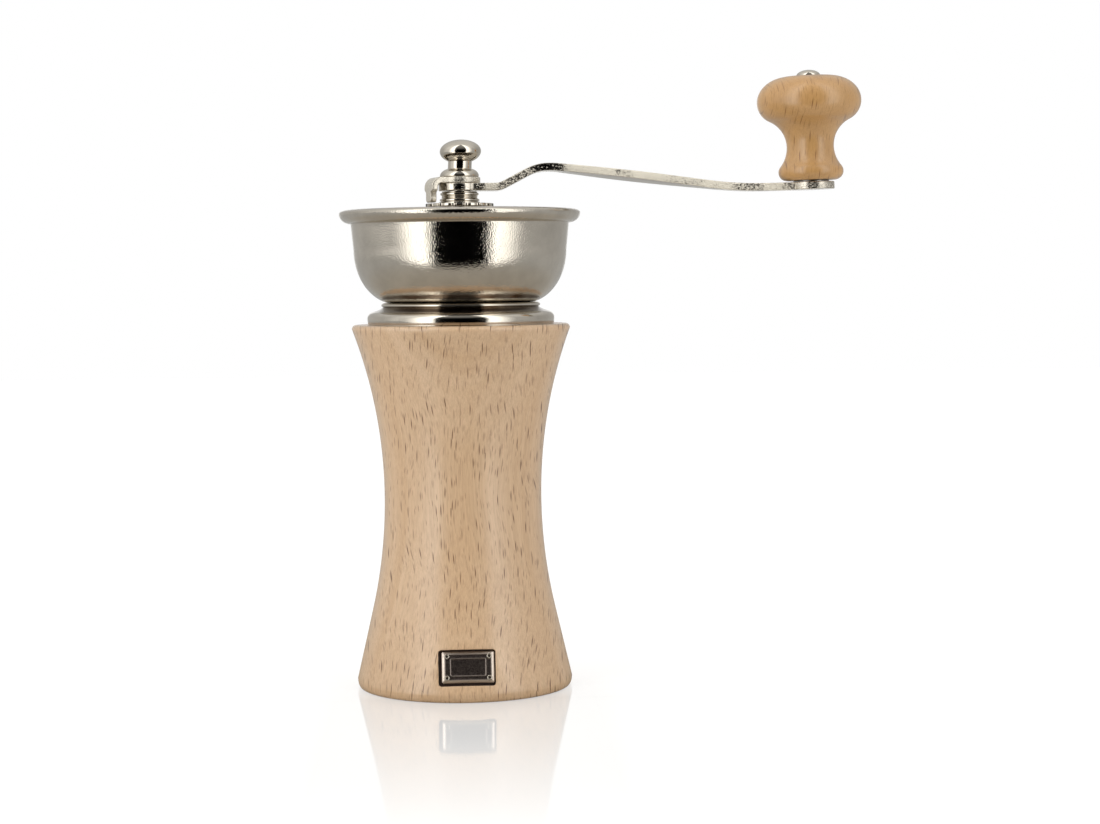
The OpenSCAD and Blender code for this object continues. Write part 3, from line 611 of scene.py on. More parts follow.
def wooden_body():
    """Turned body, with the cup bored in it and the badge's pocket sunk in its flank.

    Columns near the front are planes of equal x, the others are spread evenly over the rest of the turn.
    Near the pocket the rows follow the badge's own height, found by stepping
    t = (height - (R - sqrt((R - t tan lean)^2 - x^2)) sin lean) / cos lean. Points inside the pocket
    go down to its floor, and points near its edge follow a quarter circle.
    """
    half_w = BADGE_W / 2 + POCKET_GAP
    half_h = BADGE_H / 2 + POCKET_GAP
    near = POCKET_SHIFT[0] + pocket_lines(half_w, POCKET_WALL)
    share = np.linspace(0, 1, 8)[1:]
    left = near[0] + (-FRONT_HALF - near[0]) * share[::-1]
    right = near[-1] + (FRONT_HALF - near[-1]) * share
    x = np.concatenate([left, near, right])
    around = np.linspace(0, 1, 120)[1:-1]

    up = POCKET_SHIFT[1] + pocket_lines(half_h, POCKET_WALL)
    pocket_z = BADGE_Z + up * math.cos(LEAN)
    heights = np.linspace(BASE_ROUND, BODY_H - TOP_ROUND, 100)
    clear = (heights < pocket_z[0] - 0.3) | (heights > pocket_z[-1] + 0.3)
    heights = np.sort(np.concatenate([heights[clear], pocket_z]))
    foot = arc((BASE_R - BASE_INSET, BASE_ROUND), (BASE_INSET, BASE_ROUND), -90, -8, 8)
    crown = arc((TOP_R - TOP_ROUND, BODY_H - TOP_ROUND), TOP_ROUND, 6, 90, 7)
    recess_r = span("neck_ring")[1][0] + 0.05
    ledge_z = low("neck_ring")
    inside = np.array([
        (recess_r + 0.4, BODY_H), (recess_r, BODY_H - 0.4), (recess_r, ledge_z), (CUP_R + 0.5, ledge_z),
        (CUP_R, ledge_z - 0.5), (CUP_R, 60), (CUP_R, CUP_FLOOR + CUP_ROUND)])
    bottom = arc((CUP_R - CUP_ROUND, CUP_FLOOR + CUP_ROUND), CUP_ROUND, 0, -90, 6)[1:]
    outside = np.concatenate([[(0, 0)], foot, np.stack([flank(heights), heights], -1), crown])
    profile = np.concatenate([outside, inside, bottom, [(0, CUP_FLOOR)]])
    on_face = np.zeros(len(profile), bool)
    on_face[1 + len(foot):1 + len(foot) + len(heights)] = True

    r, z = profile[:, :1], profile[:, 1:]
    rise = np.clip(z - BADGE_Z, -BADGE_Z, CONE_Z)
    t = rise + 0 * x
    for _step in range(6):
        sag = BADGE_R - np.sqrt((BADGE_R - t * math.tan(LEAN)) ** 2 - x ** 2)
        t = (rise / math.cos(LEAN) - sag * math.sin(LEAN)) / math.cos(LEAN)
    level = np.clip((z - BASE_ROUND) / 2.5, 0, 1) * np.clip((CONE_Z - z) / 8, 0, 1)
    front = np.clip((FRONT_HALF - np.abs(x)) / 3, 0, 1)
    moved = z + on_face[:, None] * level * front * (BADGE_Z + t - z)
    front_r = np.where(on_face[:, None], flank(moved), r + 0 * x)

    squeeze = np.maximum(front_r, WAIST_R - 2)
    angle = np.arcsin(x / squeeze)
    start, end = angle[:, -1:], angle[:, :1] + 2 * np.pi
    angles = np.hstack([angle, start + (end - start) * around])
    radii = np.hstack([front_r, r + 0 * around])
    levels = np.hstack([moved, z + 0 * around])
    grid = np.stack([radii * np.sin(angles), -radii * np.cos(angles), levels], axis=-1)

    offset = grid - BADGE_AT
    along = np.abs(offset[..., 0] - POCKET_SHIFT[0])
    upward = np.abs(offset @ UP_FLANK - POCKET_SHIFT[1])
    proud = offset @ OFF_FLANK
    over_w = along - half_w + POCKET_CORNER
    over_h = upward - half_h + POCKET_CORNER
    corner = np.hypot(np.maximum(over_w, 0), np.maximum(over_h, 0))
    depth = POCKET_CORNER - corner - np.minimum(np.maximum(over_w, over_h), 0)
    depth = np.where(on_face[:, None] & (grid[..., 1] < 0), depth, -1.0)
    in_pocket = depth > POCKET_WALL / 2
    bend = np.clip(depth + POCKET_LIP, 0, POCKET_LIP)
    fall = POCKET_LIP - np.sqrt(POCKET_LIP ** 2 - bend ** 2)
    out = np.where(in_pocket, -BADGE_SINK - BADGE_T - proud, -fall)
    grid = grid + out[..., None] * OFF_FLANK
    # Painted shade: the pocket mark is 1 inside the pocket and rises over the lip as it falls in
    painted_pocket_shade = np.where(in_pocket, 1.0, 0.55 * (fall / POCKET_LIP) ** 2)
    return skin("beech_body", turned(grid, BADGE_TURN), pocket=painted_pocket_shade)


dress(wooden_body(), "wooden_body", BEECH)


# Badge

def rectangle(half_w, half_h, corner, steps=6):
    """Rounded rectangle: four corner arcs in turn."""
    quarter = np.radians(np.linspace(0, 90, steps + 1))
    turn = np.concatenate([quarter + quarter[-1] * i for i in range(4)])
    sign_x = np.repeat([1, -1, -1, 1], steps + 1)
    sign_y = np.repeat([1, 1, -1, -1], steps + 1)
    return np.stack([sign_x * (half_w - corner) + corner * np.cos(turn),
                     sign_y * (half_h - corner) + corner * np.sin(turn)], axis=-1)


def badge():
    """Plate as rings of rounded rectangles: back, sloping worn border, field, and a sunk bare panel."""
    middle = rectangle(0, 0, 0)
    rings = [(middle, 0.0, 0.0)]
    for inset, height, wear in BADGE_BORDER:
        corner = max(BADGE_CORNER - 0.45 * inset, 0.12)
        rings.append((rectangle(BADGE_W / 2 - inset, BADGE_H / 2 - inset, corner), height, wear))
    for grow, height, wear in BADGE_FRAME:
        rings.append((rectangle(BADGE_PANEL[0] + grow, BADGE_PANEL[1] + grow, 0.5), height, wear))
    panel_height = BADGE_FRAME[-1][1]
    rings.append((middle, panel_height, 0.0))
    lines, heights, wears = zip(*rings)
    levels = np.repeat(heights, len(middle)).reshape(len(rings), len(middle), 1)
    local = np.concatenate([np.array(lines), levels], axis=-1) - [0, 0, BADGE_SINK + BADGE_T]
    return skin("badge", on_flank(local), crease=50, worn=np.repeat(wears, len(middle)))


def rivets():
    """Four eyelets: a rolled ring round a hollow, on short shanks."""
    profile = np.concatenate([
        [(0, -BADGE_T), (RIVET_SHANK, -BADGE_T), (RIVET_SHANK, -0.5), (RIVET_R - 0.05, -0.5)],
        arc((RIVET_R - RIVET_ROLL, -0.05), (RIVET_ROLL, 0.3), 0, 180, 9),
        [(0.44, -0.6), (0, -0.7)]])
    places = [(x * (BADGE_W / 2 - RIVET_INSET), y * (BADGE_H / 2 - RIVET_INSET), -BADGE_SINK)
              for x in (-1, 1) for y in (-1, 1)]
    return skin("badge_eyelets", *[on_flank(lathe(profile, 32) + place) for place in places])


dress(badge(), "badge_plate", GUNMETAL)
dress(rivets(), "badge_rivets", nickel("rivet_nickel", 0.2, (0.72, 0.67, 0.58), 0.4, 0.006))


# Collar and bowl

def collar():
    """Turned ring: bead, hollow shoulder, bulging flange with a fine line low on its edge, and skirt."""
    bead_c = (BEAD_R - BEAD_SIZE[0], SEAT_Z + BEAD_RISE - BEAD_SIZE[1])
    cove = ((BEAD_R - 0.45, COVE_TOP), (BEAD_R - 0.05, COVE_PULL), COVE_END)
    bulge_c = (FLANGE_R - FLANGE_BULGE[0], FLANGE_WIDEST)
    undercut_c = (FLANGE_R - FLANGE_UNDERCUT[0], FLANGE_WIDEST)
    line_r = FLANGE_R - FLANGE_LINE
    skirt = span("neck_ring")[1][0] - SKIRT_INSET
    bore = skirt - SKIRT_WALL
    skirt_z = low("collar")
    web_z = SEAT_Z - WEB_T
    profile = np.concatenate([
        [(THROAT_R, SEAT_Z), (bead_c[0] - BEAD_SIZE[0], SEAT_Z)],
        arc(bead_c, BEAD_SIZE, 150, -66, 20),
        bow(*cove, 14),
        arc(bulge_c, FLANGE_BULGE, 66, 0, 18),
        arc(undercut_c, FLANGE_UNDERCUT, 0, -60, 9)[1:],
        [(line_r, BODY_H + 0.3), (line_r, BODY_H + 0.12), (line_r - 0.12, BODY_H),
         (skirt + 0.3, BODY_H), (skirt, BODY_H - 0.3), (skirt, skirt_z + 0.5), (skirt - 0.5, skirt_z),
         (bore + 0.4, skirt_z), (bore, skirt_z + 0.4), (bore, web_z), (THROAT_R, web_z)]])
    grid = lathe(profile, 256)
    r, z = np.hypot(grid[..., 0], grid[..., 1]), grid[..., 2]
    # Painted shade: the cove under the bead is marked to be painted brown, fading out towards the flange
    in_cove = (z < COVE_TOP + 0.05) & (z > COVE_END[1] - 0.07) & (r > BEAD_R - 1.0)
    grime = np.where(in_cove, np.clip((COVE_SHADE_END_R - r) / COVE_SHADE_FADE, 0, 1), 0.0)
    return skin("bright_collar", grid, loop=True, crease=30, grime=grime)


def bowl():
    """Spun bowl: quarter ellipse from floor to wall, flared wall, and a rim rolled outwards."""
    lip_r = BOWL_R + BOWL_FLARE
    tip_r = lip_r + 2 * RIM_ROUND
    tip_z = RIM_TOP - RIM_OVER
    in_r = lip_r - BOWL_WALL
    curve_c = (BOWL_BEND_R, SEAT_Z + BOWL_CURVE_H)
    curve_r = BOWL_R - BOWL_BEND_R
    under_z = tip_z - RIM_UNDER
    crest_r = tip_r - RIM_CREST
    mouth_z = RIM_TOP - RIM_ROLL_IN
    wall = np.linspace(0, 1, 8)[1:-1, None]
    outer = np.concatenate([
        arc(curve_c, (curve_r, BOWL_CURVE_H), -90, 0, 44),
        np.array([BOWL_R, curve_c[1]]) + wall * np.array([BOWL_FLARE, under_z - 0.3 - curve_c[1]]),
        arc((lip_r + UNDER_ROUND[0], under_z - 0.2), UNDER_ROUND, 180, 95, 4),
        arc((lip_r, tip_z), (tip_r - lip_r, RIM_UNDER), -83, 0, 22),
        arc((crest_r, tip_z), (tip_r - crest_r, RIM_OVER), 0, 90, 18)[1:]])
    inner = np.concatenate([
        arc((crest_r, mouth_z), (crest_r - in_r, RIM_ROLL_IN), 90, 180, 14)[1:],
        np.array([in_r, mouth_z]) + wall * np.array([-BOWL_FLARE, curve_c[1] - mouth_z]),
        arc(curve_c, (curve_r - BOWL_WALL, BOWL_CURVE_H - BOWL_WALL), 0, -90, 44)])
    hole_z = SEAT_Z + BOWL_WALL
    hole = [(THROAT_R + 0.3, hole_z), (THROAT_R, hole_z - 0.3), (THROAT_R, SEAT_Z)]
    return skin("satin_bowl", lathe(np.concatenate([outer, inner, hole]), 256), loop=True, crease=50)


dress(collar(), "collar", POLISHED)
dress(bowl(), "hopper_bowl", SATIN)


# Adjuster

def notched_disc():
    """Disc whose rim dips in round notches: R cos d - sqrt(n^2 - R^2 sin^2 d) at d from a notch's middle."""
    bottom, top = low("notched_disc"), high("notched_disc")
    pitch = 2 * np.pi / NOTCHES
    mouth = math.asin(NOTCH_R / DISC_R) * 0.999
    step = np.concatenate([mouth * np.sin(np.linspace(-np.pi / 2, np.pi / 2, 15)),
                           np.linspace(mouth, pitch - mouth, 7)[1:-1]])
    turn = (np.arange(NOTCHES)[:, None] * pitch + step + pitch / 2).ravel()
    near = np.tile(step, NOTCHES)
    dip = np.sqrt(np.maximum(NOTCH_R ** 2 - (DISC_R * np.sin(near)) ** 2, 0))
    rim = np.where(np.abs(near) <= mouth, DISC_R * np.cos(near) - dip, DISC_R)
    edges = ((0.25, bottom), (0.08, bottom + 0.08), (0, bottom + 0.25),
             (0, top - 0.25), (0.08, top - 0.08), (0.25, top))
    faces = [(DISC_FACE_R, top), (DISC_FACE_R - 1, top), (SHAFT_R, top), (SHAFT_R, bottom),
             (DISC_FACE_R, bottom)]
    rings = [(rim - inset, z) for inset, z in edges] + faces
    rows = [np.stack([r * np.cos(turn), r * np.sin(turn), 0 * turn + z], -1) for r, z in rings]
    return skin("click_disc", np.array(rows), loop=True, crease=35)


def spool_nut():
    """Ribbed spool: a foot, a raised ring, a groove and a plain head, all with broken edges."""
    z = low("adjusting_nut")
    r = NUT_R - 0.8
    head = high("adjusting_nut")
    profile = rounded(
        (SHAFT_R, z), (NUT_R - 0.1, z, 0.1), (NUT_R - 0.1, z + 0.6, 0.2), (r, z + 0.6, 0.08),
        (r, z + 0.8, 0.08), (r + 0.5, z + 0.8, 0.2), (r + 0.5, z + 1.5, 0.25), (r - 0.4, z + 2.0, 0.15),
        (r - 0.1, z + 2.3, 0.06), (r - 0.1, z + 2.42, 0.06), (r - 0.4, z + 2.7, 0.15),
        (r + 0.25, z + 3.1, 0.2), (r + 0.25, z + 3.75, 0.2), (r - 0.3, z + 3.9, 0.1), (r - 0.3, head, 0.15),
        (SHAFT_R, head), support=0.03)
    return skin("spool_nut", lathe(profile, 128), loop=True)


dress(notched_disc(), "notched_disc", POLISHED)
dress(spool_nut(), "adjusting_nut", POLISHED)


# Crank

CREST_X = RAMP_START + RAMP_RUN + 1
DIP_X = ARM_REACH - ARM_TAIL


def climb(u, height, run, bend_from, bend_to):
    """Straight climb of the given height and length, with a parabola at each end."""
    u = np.clip(u, 0, run)
    slope = height / (run - bend_from / 2 - bend_to / 2)
    rise = np.where(u < bend_from, slope * u ** 2 / (2 * bend_from), slope * (u - bend_from / 2))
    return np.where(u > run - bend_to, height - slope * (run - u) ** 2 / (2 * bend_to), rise)


def arm_line(x):
    """Height of the arm's middle: a climb from the hub, a long fall, and a slight lift."""
    u = np.maximum(x - DIP_X, 0)
    lift = np.where(u < TILT_RUN, u ** 2 / (2 * TILT_RUN), u - TILT_RUN / 2)
    return (ARM_Z + ARM_T / 2 + climb(x - RAMP_START, ARM_RISE, RAMP_RUN, BEND_IN, BEND_OUT)
            - climb(x - CREST_X, ARM_FALL, DIP_X - CREST_X, FALL_IN, FALL_OUT)
            + math.tan(math.radians(END_TILT)) * lift)


def arm_lean(x):
    """Lean of the arm's middle line, in radians."""
    return np.arctan((arm_line(x + 0.05) - arm_line(x - 0.05)) / 0.1)


def sheet(outline, thickness, edge, across=7):
    """Flat plate from half of its outline, given as points (u, v) from tip to tip with v not negative.

    Columns run round the plate's section: the rounded edge on one side, across the top, the edge on the
    other side, and back underneath. Edge points lie inwards of the outline along its normals. Gives the
    flat points (u, v, height) and a mark that is 1 on the edges.
    """
    outline = np.asarray(outline, float)
    along = np.gradient(outline, axis=0)
    along[0], along[-1] = (0, 1), (0, -1)
    normal = np.stack([-along[:, 1], along[:, 0]], -1) / np.linalg.norm(along, axis=1)[:, None]
    bend = np.radians(np.linspace(0, 90, 5))
    inset = edge * np.concatenate([(1 - np.cos(bend))[::-1], 1 - np.cos(bend)])
    level = thickness / 2 - edge
    height = np.concatenate([-level - edge * np.sin(bend)[::-1], level + edge * np.sin(bend)])
    side = outline[:, None, :] - normal[:, None, :] * inset[None, :, None]
    side[:, :, 1] = np.maximum(side[:, :, 1], 0)
    side[[0, -1], :, 1] = 0
    level_row = np.broadcast_to(height, side.shape[:2])
    edge_up = np.concatenate([side, level_row[..., None]], -1)
    edge_down = edge_up[:, ::-1] * [1, -1, 1]
    share = np.linspace(1, -1, across)[1:-1, None]
    top = np.stack([np.repeat(side[:, -1:, 0], across - 2, 1), side[:, -1:, 1] * share.T,
                    np.full((len(outline), across - 2), height[-1])], -1)
    under = top[:, ::-1] * [1, 1, -1]
    grid = np.concatenate([edge_up, top, edge_down, under], axis=1)
    columns = np.concatenate([inset < 0.7 * edge, np.zeros(across - 2, bool), inset[::-1] < 0.7 * edge,
                              np.zeros(across - 2, bool)])
    return grid, np.broadcast_to(columns, grid.shape[:2]).astype(float)


def crank_arm():
    """Flat bar with a round hub and a round eye, bent along the arm's line and a little twisted."""
    hub_from = math.degrees(math.asin(ARM_W / 2 / ARM_HUB_R))
    eye_from = math.degrees(math.asin(ARM_END_W / 2 / EYE_R))
    hub = arc((0, 0), ARM_HUB_R, 180, hub_from, 30)
    eye = arc((ARM_REACH, 0), EYE_R, 180 - eye_from, 0, 30)
    share = np.linspace(0, 1, 90)[1:-1, None]
    outline = np.concatenate([hub, hub[-1] + (eye[0] - hub[-1]) * share, eye])
    grid, edge = sheet(outline, ARM_T, ARM_EDGE)
    x, y, h = np.moveaxis(grid, -1, 0)
    wave = np.clip((x - TWIST_FROM) / (TWIST_TO - TWIST_FROM), 0, 1)
    twist = np.radians(ARM_TWIST) * np.sin(np.pi * wave) ** 2
    y, h = y * np.cos(twist) + h * np.sin(twist), h * np.cos(twist) - y * np.sin(twist)
    lean = arm_lean(x)
    points = np.stack([x - h * np.sin(lean), y, arm_line(x) + h * np.cos(lean)], -1)
    places, shares = np.array(ARM_FROST_AND_HIGHLIGHT).T
    # Frost along the arm's edges, laid out where the edges are to look bright: partly painted highlights
    frost = np.interp(x, places, shares) * edge
    return skin("arm", points, crease=50, edge=edge, frost=frost)


def lock_plate():
    """Ring plate whose tab turns down through a quarter circle and ends in a narrower tongue."""
    reach = ARM_HUB_R + TAB_GAP + LOCK_T
    flat_end = reach - TAB_BEND - LOCK_T
    middle_r = TAB_BEND + LOCK_T / 2
    turn_end = flat_end + middle_r * np.pi / 2
    tip_z = low("lock_plate")
    tip = turn_end + LOCK_Z - TAB_BEND - tip_z
    shoulder = turn_end + LOCK_Z - TAB_BEND - (ARM_Z - 0.4)
    tab_from = math.degrees(math.asin(TAB_W / 2 / LOCK_R))
    half, slim = TAB_W / 2, TONGUE_W / 2
    disc = arc((0, 0), LOCK_R, 180, tab_from, 36)
    strip = np.linspace(0, 1, 24)[1:, None] * [shoulder - TAB_SOFT - disc[-1, 0], 0] + disc[-1]
    corner = arc((shoulder - TAB_SOFT, half - TAB_SOFT), TAB_SOFT, 80, 0, 6)
    nose_u = tip - TONGUE_ROUND
    tongue = np.array([(shoulder + 0.15, slim + 0.15), (shoulder + 0.5, slim), (nose_u - 0.2, slim)])
    nose = arc((nose_u, slim - TONGUE_ROUND), TONGUE_ROUND, 80, 0, 6)
    outline = np.concatenate([disc, strip, corner, tongue, nose, [(tip, 0)]])
    grid, edge = sheet(outline, LOCK_T, LOCK_EDGE)
    u, v, h = np.moveaxis(grid, -1, 0)
    angle = np.clip((u - flat_end) / middle_r, 0, np.pi / 2)
    straight = np.maximum(u - turn_end, 0)
    x = np.minimum(u, flat_end) + (middle_r + h) * np.sin(angle)
    z = LOCK_Z + LOCK_T / 2 + h - (middle_r + h) * (1 - np.cos(angle)) - straight
    points = np.stack([-x, -v, z], -1)
    # The tab's frost makes it pale: partly a painted highlight
    on_tab = np.clip((u - flat_end) / 1.5, 0, 1)
    frost = np.maximum(0.55 * on_tab, 0.45 * edge)
    return skin("lock", turned(points, TAB_TURN), crease=50, edge=edge * (0.5 - 0.4 * on_tab), frost=frost)


def crown_nut():
    """Finial: domed foot, short neck and a flattened ball, sheared by its slight lean."""
    neck_z = CROWN_Z + CROWN_FOOT_H
    ball_z = neck_z + CROWN_NECK_H
    dome_r = CROWN_NECK_R - 1.2
    ball_from = -math.degrees(math.acos(CROWN_NECK_R / CROWN_R))
    profile = np.concatenate([
        [(0, CROWN_Z), (CROWN_FOOT_R - 0.3, CROWN_Z), (CROWN_FOOT_R - 0.12, CROWN_Z + 0.12)],
        arc((dome_r, CROWN_Z + 0.3), (CROWN_FOOT_R - dome_r, CROWN_FOOT_H - 0.3), 0, 68, 14),
        [(CROWN_NECK_R + 0.05, neck_z - 0.1), (CROWN_NECK_R, neck_z + 0.15), (CROWN_NECK_R, ball_z - 0.2)],
        arc((0, ball_z + CROWN_BALL_H / 2), (CROWN_R, CROWN_BALL_H / 2), ball_from, 90, 30)])
    grid = lathe(profile, 128)
    grid[..., 0] += CROWN_LEAN * (grid[..., 2] - CROWN_Z)
    return skin("crown", grid, crease=45)


dress(crank_arm(), "crank_arm", STAMPED)
dress(lock_plate(), "lock_plate", STAMPED)
dress(crown_nut(), "crown_nut", POLISHED)


# Knob

PIN_LEAN = float(arm_lean(np.array(ARM_REACH)))
KNOB_AT = np.array([ARM_REACH, 0, float(arm_line(np.array(ARM_REACH)))])
KNOB_Z = ARM_T / 2 + KNOB_WASHER_T + FACE_GAP


def on_pin(local):
    """Points of the knob's own frame, whose z runs along the pin, brought to the arm's eye."""
    c, s = math.cos(PIN_LEAN), math.sin(PIN_LEAN)
    return local @ np.array([[c, 0, s], [0, 1, 0], [-s, 0, c]]) + KNOB_AT


def bearing(start, end):
    """Direction from one point of a profile to another, in degrees."""
    return math.degrees(math.atan2(end[1] - start[1], end[0] - start[0]))


def hollow(centre, radius):
    """Radius of the hollow that is upright at the neck and touches a round of the given centre and radius."""
    a, b = centre[0] - KNOB_NECK_R, centre[1] - KNOB_NECK_Z
    return (a * a + b * b - radius * radius) / (2 * (a + radius))


def mushroom():
    """Turned knob: rounded foot, hollow neck, rounded cap, all arcs that touch each other."""
    wide_z = KNOB_H - KNOB_EDGE
    foot_c = (KNOB_FOOT_R - KNOB_FOOT_ROUND, KNOB_FOOT_ROUND)
    head_c = (KNOB_R - KNOB_UNDER, wide_z)
    low_r, high_r = hollow(foot_c, KNOB_FOOT_ROUND), hollow(head_c, KNOB_UNDER)
    low_c, high_c = (KNOB_NECK_R + low_r, KNOB_NECK_Z), (KNOB_NECK_R + high_r, KNOB_NECK_Z)
    profile = np.concatenate([
        [(0, 0), (3, 0), (6, 0)],
        arc(foot_c, KNOB_FOOT_ROUND, -90, bearing(foot_c, low_c), 14),
        arc(low_c, low_r, 360 + bearing(low_c, foot_c), 180, 12),
        arc(high_c, high_r, 180, bearing(high_c, head_c), 16)[1:],
        arc(head_c, KNOB_UNDER, bearing(head_c, high_c), 0, 14),
        arc((KNOB_R - KNOB_TOP_W, wide_z), (KNOB_TOP_W, KNOB_EDGE), 0, 90, 20)[1:],
        [(6, KNOB_H), (PIN_HEAD_R, KNOB_H), (0, KNOB_H)]])
    return skin("mushroom_knob", on_pin(lathe(profile + [0, KNOB_Z], 160)))


def pin():
    """Rivet: plain shank and a domed head on the knob."""
    head_z = KNOB_Z + KNOB_H + FACE_GAP
    end_z = -ARM_T / 2
    profile = np.concatenate([
        [(0, end_z), (PIN_R - 0.3, end_z), (PIN_R, end_z + 0.3), (PIN_R, head_z), (PIN_HEAD_R - 0.1, head_z)],
        arc((0, head_z + 0.15), (PIN_HEAD_R, PIN_HEAD_H - 0.15), -2, 90, 18)])
    return skin("pin", on_pin(lathe(profile, 96)), crease=40)


def washer():
    """Thin ring under the knob."""
    bore = PIN_R + 0.05
    under, top = ARM_T / 2, ARM_T / 2 + KNOB_WASHER_T
    profile = rounded((bore, under), (KNOB_WASHER_R, under, 0.12), (KNOB_WASHER_R, top, 0.12), (bore, top),
                      support=0.02)
    return skin("thin_washer", on_pin(lathe(profile, 96)), loop=True)


dress(mushroom(), "crank_knob", KNOB_BEECH)
dress(pin(), "knob_pin", POLISHED)
dress(washer(), "knob_washer", STEEL)


# Spring

def spring():
    """Tube along a helix: radius R + w cos b at height z + w sin b, with round ends."""
    bottom, top = low("burr_spring") + WIRE_R, high("burr_spring") - WIRE_R
    middle_r = span("burr_spring")[1][0] - WIRE_R
    share = np.linspace(0, 1, SPRING_TURNS * 48 + 1)
    cap = np.sin(np.radians(np.linspace(0, 90, 4)))[:-1]
    wire = WIRE_R * np.concatenate([cap, np.ones(len(share)), cap[::-1]])[:, None]
    path = np.concatenate([np.zeros(len(cap)), share, np.ones(len(cap))])[:, None]
    turn = 2 * np.pi * SPRING_TURNS * path
    b = np.linspace(0, 2 * np.pi, 12, endpoint=False)
    r = middle_r + wire * np.cos(b)
    z = bottom + (top - bottom) * path + wire * np.sin(b)
    return skin("coil_spring", np.stack([r * np.cos(turn), r * np.sin(turn), z], -1))


coil = dress(spring(), "burr_spring", STEEL)
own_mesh(coil)


# Inner parts keep their CAD shape

for finish, nodes in (
        (STEEL, ("neck_ring", "bridge", "burr_screws", "drive_washer", "shaft", "burr_washer", "burr_nut")),
        (BURR_STEEL, ("outer_burr", "inner_burr")), (BRASS, ("bridge_bush",)), (RUBBER, ("seal_ring",))):
    for node in nodes:
        frame["nodes"][node].data.materials.clear()
        frame["nodes"][node].data.materials.append(finish)


# Studio

FLOOR_FRONT = -300.0
FLOOR_SIDE = 1500.0
FLOOR_BACK = 2500.0
FLOOR_DROP = 0.05
MIRROR_SHARE = 0.4
MIRROR_FROM = 39.0
MIRROR_TO = 240.0
MIRROR_FADE = 1.5
MIRROR_FRONT = (10.0, -30.0)
MIRROR_SIDE = (62.0, 46.0)
FLOOR_GLOW = 0.65
HAZE_FROM = 70.0
HAZE_TO = 520.0
HAZE_GLOW = 0.46
HAZE_GLOW_MATT = 1.7


def floor():
    """Pale floor as a flat sheet, with a look for each kind of ray.

    The camera sees a white glow over a matt white that holds the object's shadow, and in front of the
    object a faint mirror image that fades away from it. Other rays see a pale matt floor, which further
    out turns into a glowing haze. From below the floor is clear.
    """
    across = np.linspace(-FLOOR_SIDE, FLOOR_SIDE, 13)
    x, y = np.meshgrid(across, np.linspace(FLOOR_FRONT, FLOOR_BACK, 13))
    plane = skin("floor", np.stack([x, y, np.full_like(x, -FLOOR_DROP)], -1), ring=False)
    if plane.data.polygons[0].normal.z < 0:
        plane.data.flip_normals()
    pale = Finish("floor_white")
    pale.tree.nodes.remove(pale.shader)
    from_axis = pale.length(pale.vector("MULTIPLY", pale.place, (1, 1, 0)))
    faded = pale.math("POWER", pale.remap(from_axis, MIRROR_FROM, MIRROR_TO), MIRROR_FADE)
    mirror = pale.remap(faded, 0.0, 1.0, MIRROR_SHARE, 0.0)
    place_x, place_y = (pale.node("SeparateXYZ", {0: pale.place}, axis) for axis in "XY")
    in_front = pale.remap(place_y, *MIRROR_FRONT)
    ahead = pale.remap(pale.math("ABSOLUTE", place_x), *MIRROR_SIDE)
    mirror = pale.math("MULTIPLY", mirror, pale.math("MULTIPLY", in_front, ahead))
    matt = pale.node("BsdfDiffuse", {"Color": (0.8, 0.79, 0.77, 1)})
    glow = pale.node("Emission", {"Color": (1, 1, 1, 1), "Strength": 1.15})
    lit = pale.node("MixShader", {0: FLOOR_GLOW, 1: matt, 2: glow})
    gloss = pale.node("BsdfGlossy", {"Color": (1, 1, 1, 1), "Roughness": 0.06})
    seen = pale.node("MixShader", {0: mirror, 1: lit, 2: gloss})
    to_matt = pale.node("LightPath", {}, "Is Diffuse Ray")
    tone = pale.blend(to_matt, (0.33, 0.303, 0.262), (0.66, 0.62, 0.55))
    bounce = pale.node("BsdfDiffuse", {"Color": tone})
    haze_level = pale.remap(to_matt, 0.0, 1.0, HAZE_GLOW, HAZE_GLOW_MATT)
    haze = pale.node("Emission", {"Color": (1, 1, 0.98, 1), "Strength": haze_level})
    far = pale.remap(from_axis, HAZE_FROM, HAZE_TO)
    unseen = pale.node("MixShader", {0: far, 1: bounce, 2: haze})
    to_camera = pale.node("LightPath", {}, "Is Camera Ray")
    floor_top = pale.node("MixShader", {0: to_camera, 1: unseen, 2: seen})
    from_below = pale.node("NewGeometry", {}, "Backfacing")
    clear = pale.node("BsdfTransparent", {})
    surface = pale.node("MixShader", {0: from_below, 1: floor_top, 2: clear})
    pale.tree.links.new(surface, pale.tree.nodes["Material Output"].inputs["Surface"])
    plane.data.materials.append(pale.material)
    return plane


floor()

# SLIT, PANEL and SHOULDER are angles away from the camera's side, and BACK is one away from the far side
SLIT = 33.0
SLIT_SOFT = 2.5
PANEL = 58.0
PANEL_SOFT = 16.0
BACK = 14.0
BACK_SOFT = 2.0
SLIT_GLOW = 0.0
PANEL_GLOW = 2.2
TENT_GLOW = 0.48
BACK_GLOW = 1.0
LEFT_GAIN = 0.12
DIFFUSE_GAIN = 1.66
SHOULDER = 98.0
SHOULDER_SOFT = 16.0
LEFT_SHOULDER = 0.26
RIGHT_SHOULDER = 0.1
CEILING_FROM = 0.3
CEILING_TO = 0.9
CEILING_GLOW = 0.3


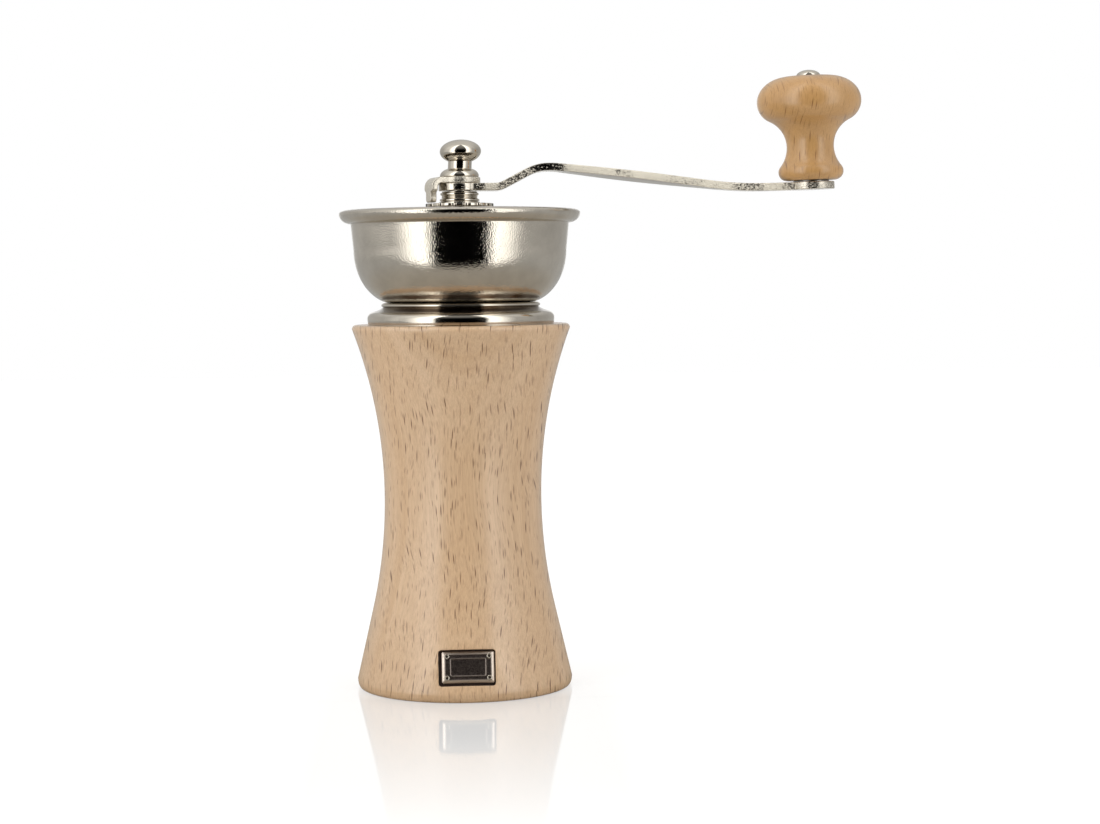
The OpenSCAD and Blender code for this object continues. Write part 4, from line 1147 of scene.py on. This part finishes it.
def studio():
    """Surroundings by direction, while the camera itself sees plain white.

    There is a dark gap at the camera, a white panel on each side of it, a pale tent beyond the panels and
    a white back. The left is brighter than the right, and matt surfaces get more light than shiny ones.
    """
    world = bpy.data.worlds.new("studio")
    world.use_nodes = True
    bpy.context.scene.world = world
    sky = Nodes(world.node_tree)
    direction = sky.node("TexCoord", {}, "Generated")
    x, y, z = (sky.node("SeparateXYZ", {0: direction}, axis) for axis in "XYZ")
    azimuth = sky.math("ARCTAN2", x, sky.math("MULTIPLY", y, -1.0))
    away = sky.math("ABSOLUTE", azimuth)

    def step(at, soft, below, above):
        """Soft change of a value where the direction turns past an angle from the camera."""
        start, end = math.radians(at - soft), math.radians(at + soft)
        return sky.remap(away, start, end, below, above, interpolation_type="SMOOTHSTEP")

    panels = step(SLIT, SLIT_SOFT, SLIT_GLOW, PANEL_GLOW)
    tent = step(PANEL, PANEL_SOFT, 0.0, TENT_GLOW - PANEL_GLOW)
    back_from = math.cos(math.radians(BACK + BACK_SOFT))
    back_to = math.cos(math.radians(BACK - BACK_SOFT))
    back = sky.remap(y, back_from, back_to, 0.0, BACK_GLOW - TENT_GLOW)
    glow = sky.math("ADD", sky.math("ADD", panels, tent), back)
    band = sky.math("ADD", step(PANEL, PANEL_SOFT, 0.0, 1.0), step(SHOULDER, SHOULDER_SOFT, 0.0, -1.0))
    amount = sky.remap(x, -1.0, 1.0, LEFT_SHOULDER, RIGHT_SHOULDER)
    glow = sky.math("ADD", glow, sky.math("MULTIPLY", band, amount))
    slant = sky.remap(x, -1.0, 1.0, 1 + LEFT_GAIN, 1 - LEFT_GAIN)
    ceiling = sky.remap(z, CEILING_FROM, CEILING_TO, 0.0, CEILING_GLOW)
    glow = sky.math("ADD", sky.math("MULTIPLY", glow, slant), ceiling)
    gain = sky.remap(sky.node("LightPath", {}, "Is Diffuse Ray"), 0.0, 1.0, 1.0, DIFFUSE_GAIN)
    strength = sky.math("MULTIPLY", glow, gain)
    light = sky.node("Background", {"Color": (1.0, 0.995, 0.975, 1), "Strength": strength})
    white = sky.node("Background", {"Color": (1, 1, 1, 1), "Strength": 1.0})
    to_camera = sky.node("LightPath", {}, "Is Camera Ray")
    through = sky.node("LightPath", {}, "Is Transmission Ray")
    plain = sky.math("MAXIMUM", to_camera, through)
    mixed = sky.node("MixShader", {0: plain, 1: light, 2: white})
    out = [found for found in sky.tree.nodes if found.type == "OUTPUT_WORLD"][0]
    sky.tree.links.new(mixed, out.inputs["Surface"])


studio()

camera = bpy.data.objects.new("camera", bpy.data.cameras.new("camera"))
bpy.context.scene.collection.objects.link(camera)
bpy.context.scene.camera = camera
camera.data.sensor_width = SENSOR
camera.data.lens = FOCAL_PX / IMAGE_W * SENSOR
pitch, yaw = math.radians(PITCH), math.radians(YAW)
forward = Vector((math.sin(yaw) * math.cos(pitch), math.cos(yaw) * math.cos(pitch), math.sin(pitch)))
turn = forward.to_track_quat("-Z", "Y").to_matrix().to_4x4() @ Matrix.Rotation(math.radians(-ROLL), 4, "Z")
camera.matrix_world = Matrix.Translation(Vector(EYE) * MM) @ turn
bpy.context.scene.view_settings.view_transform = "Standard"
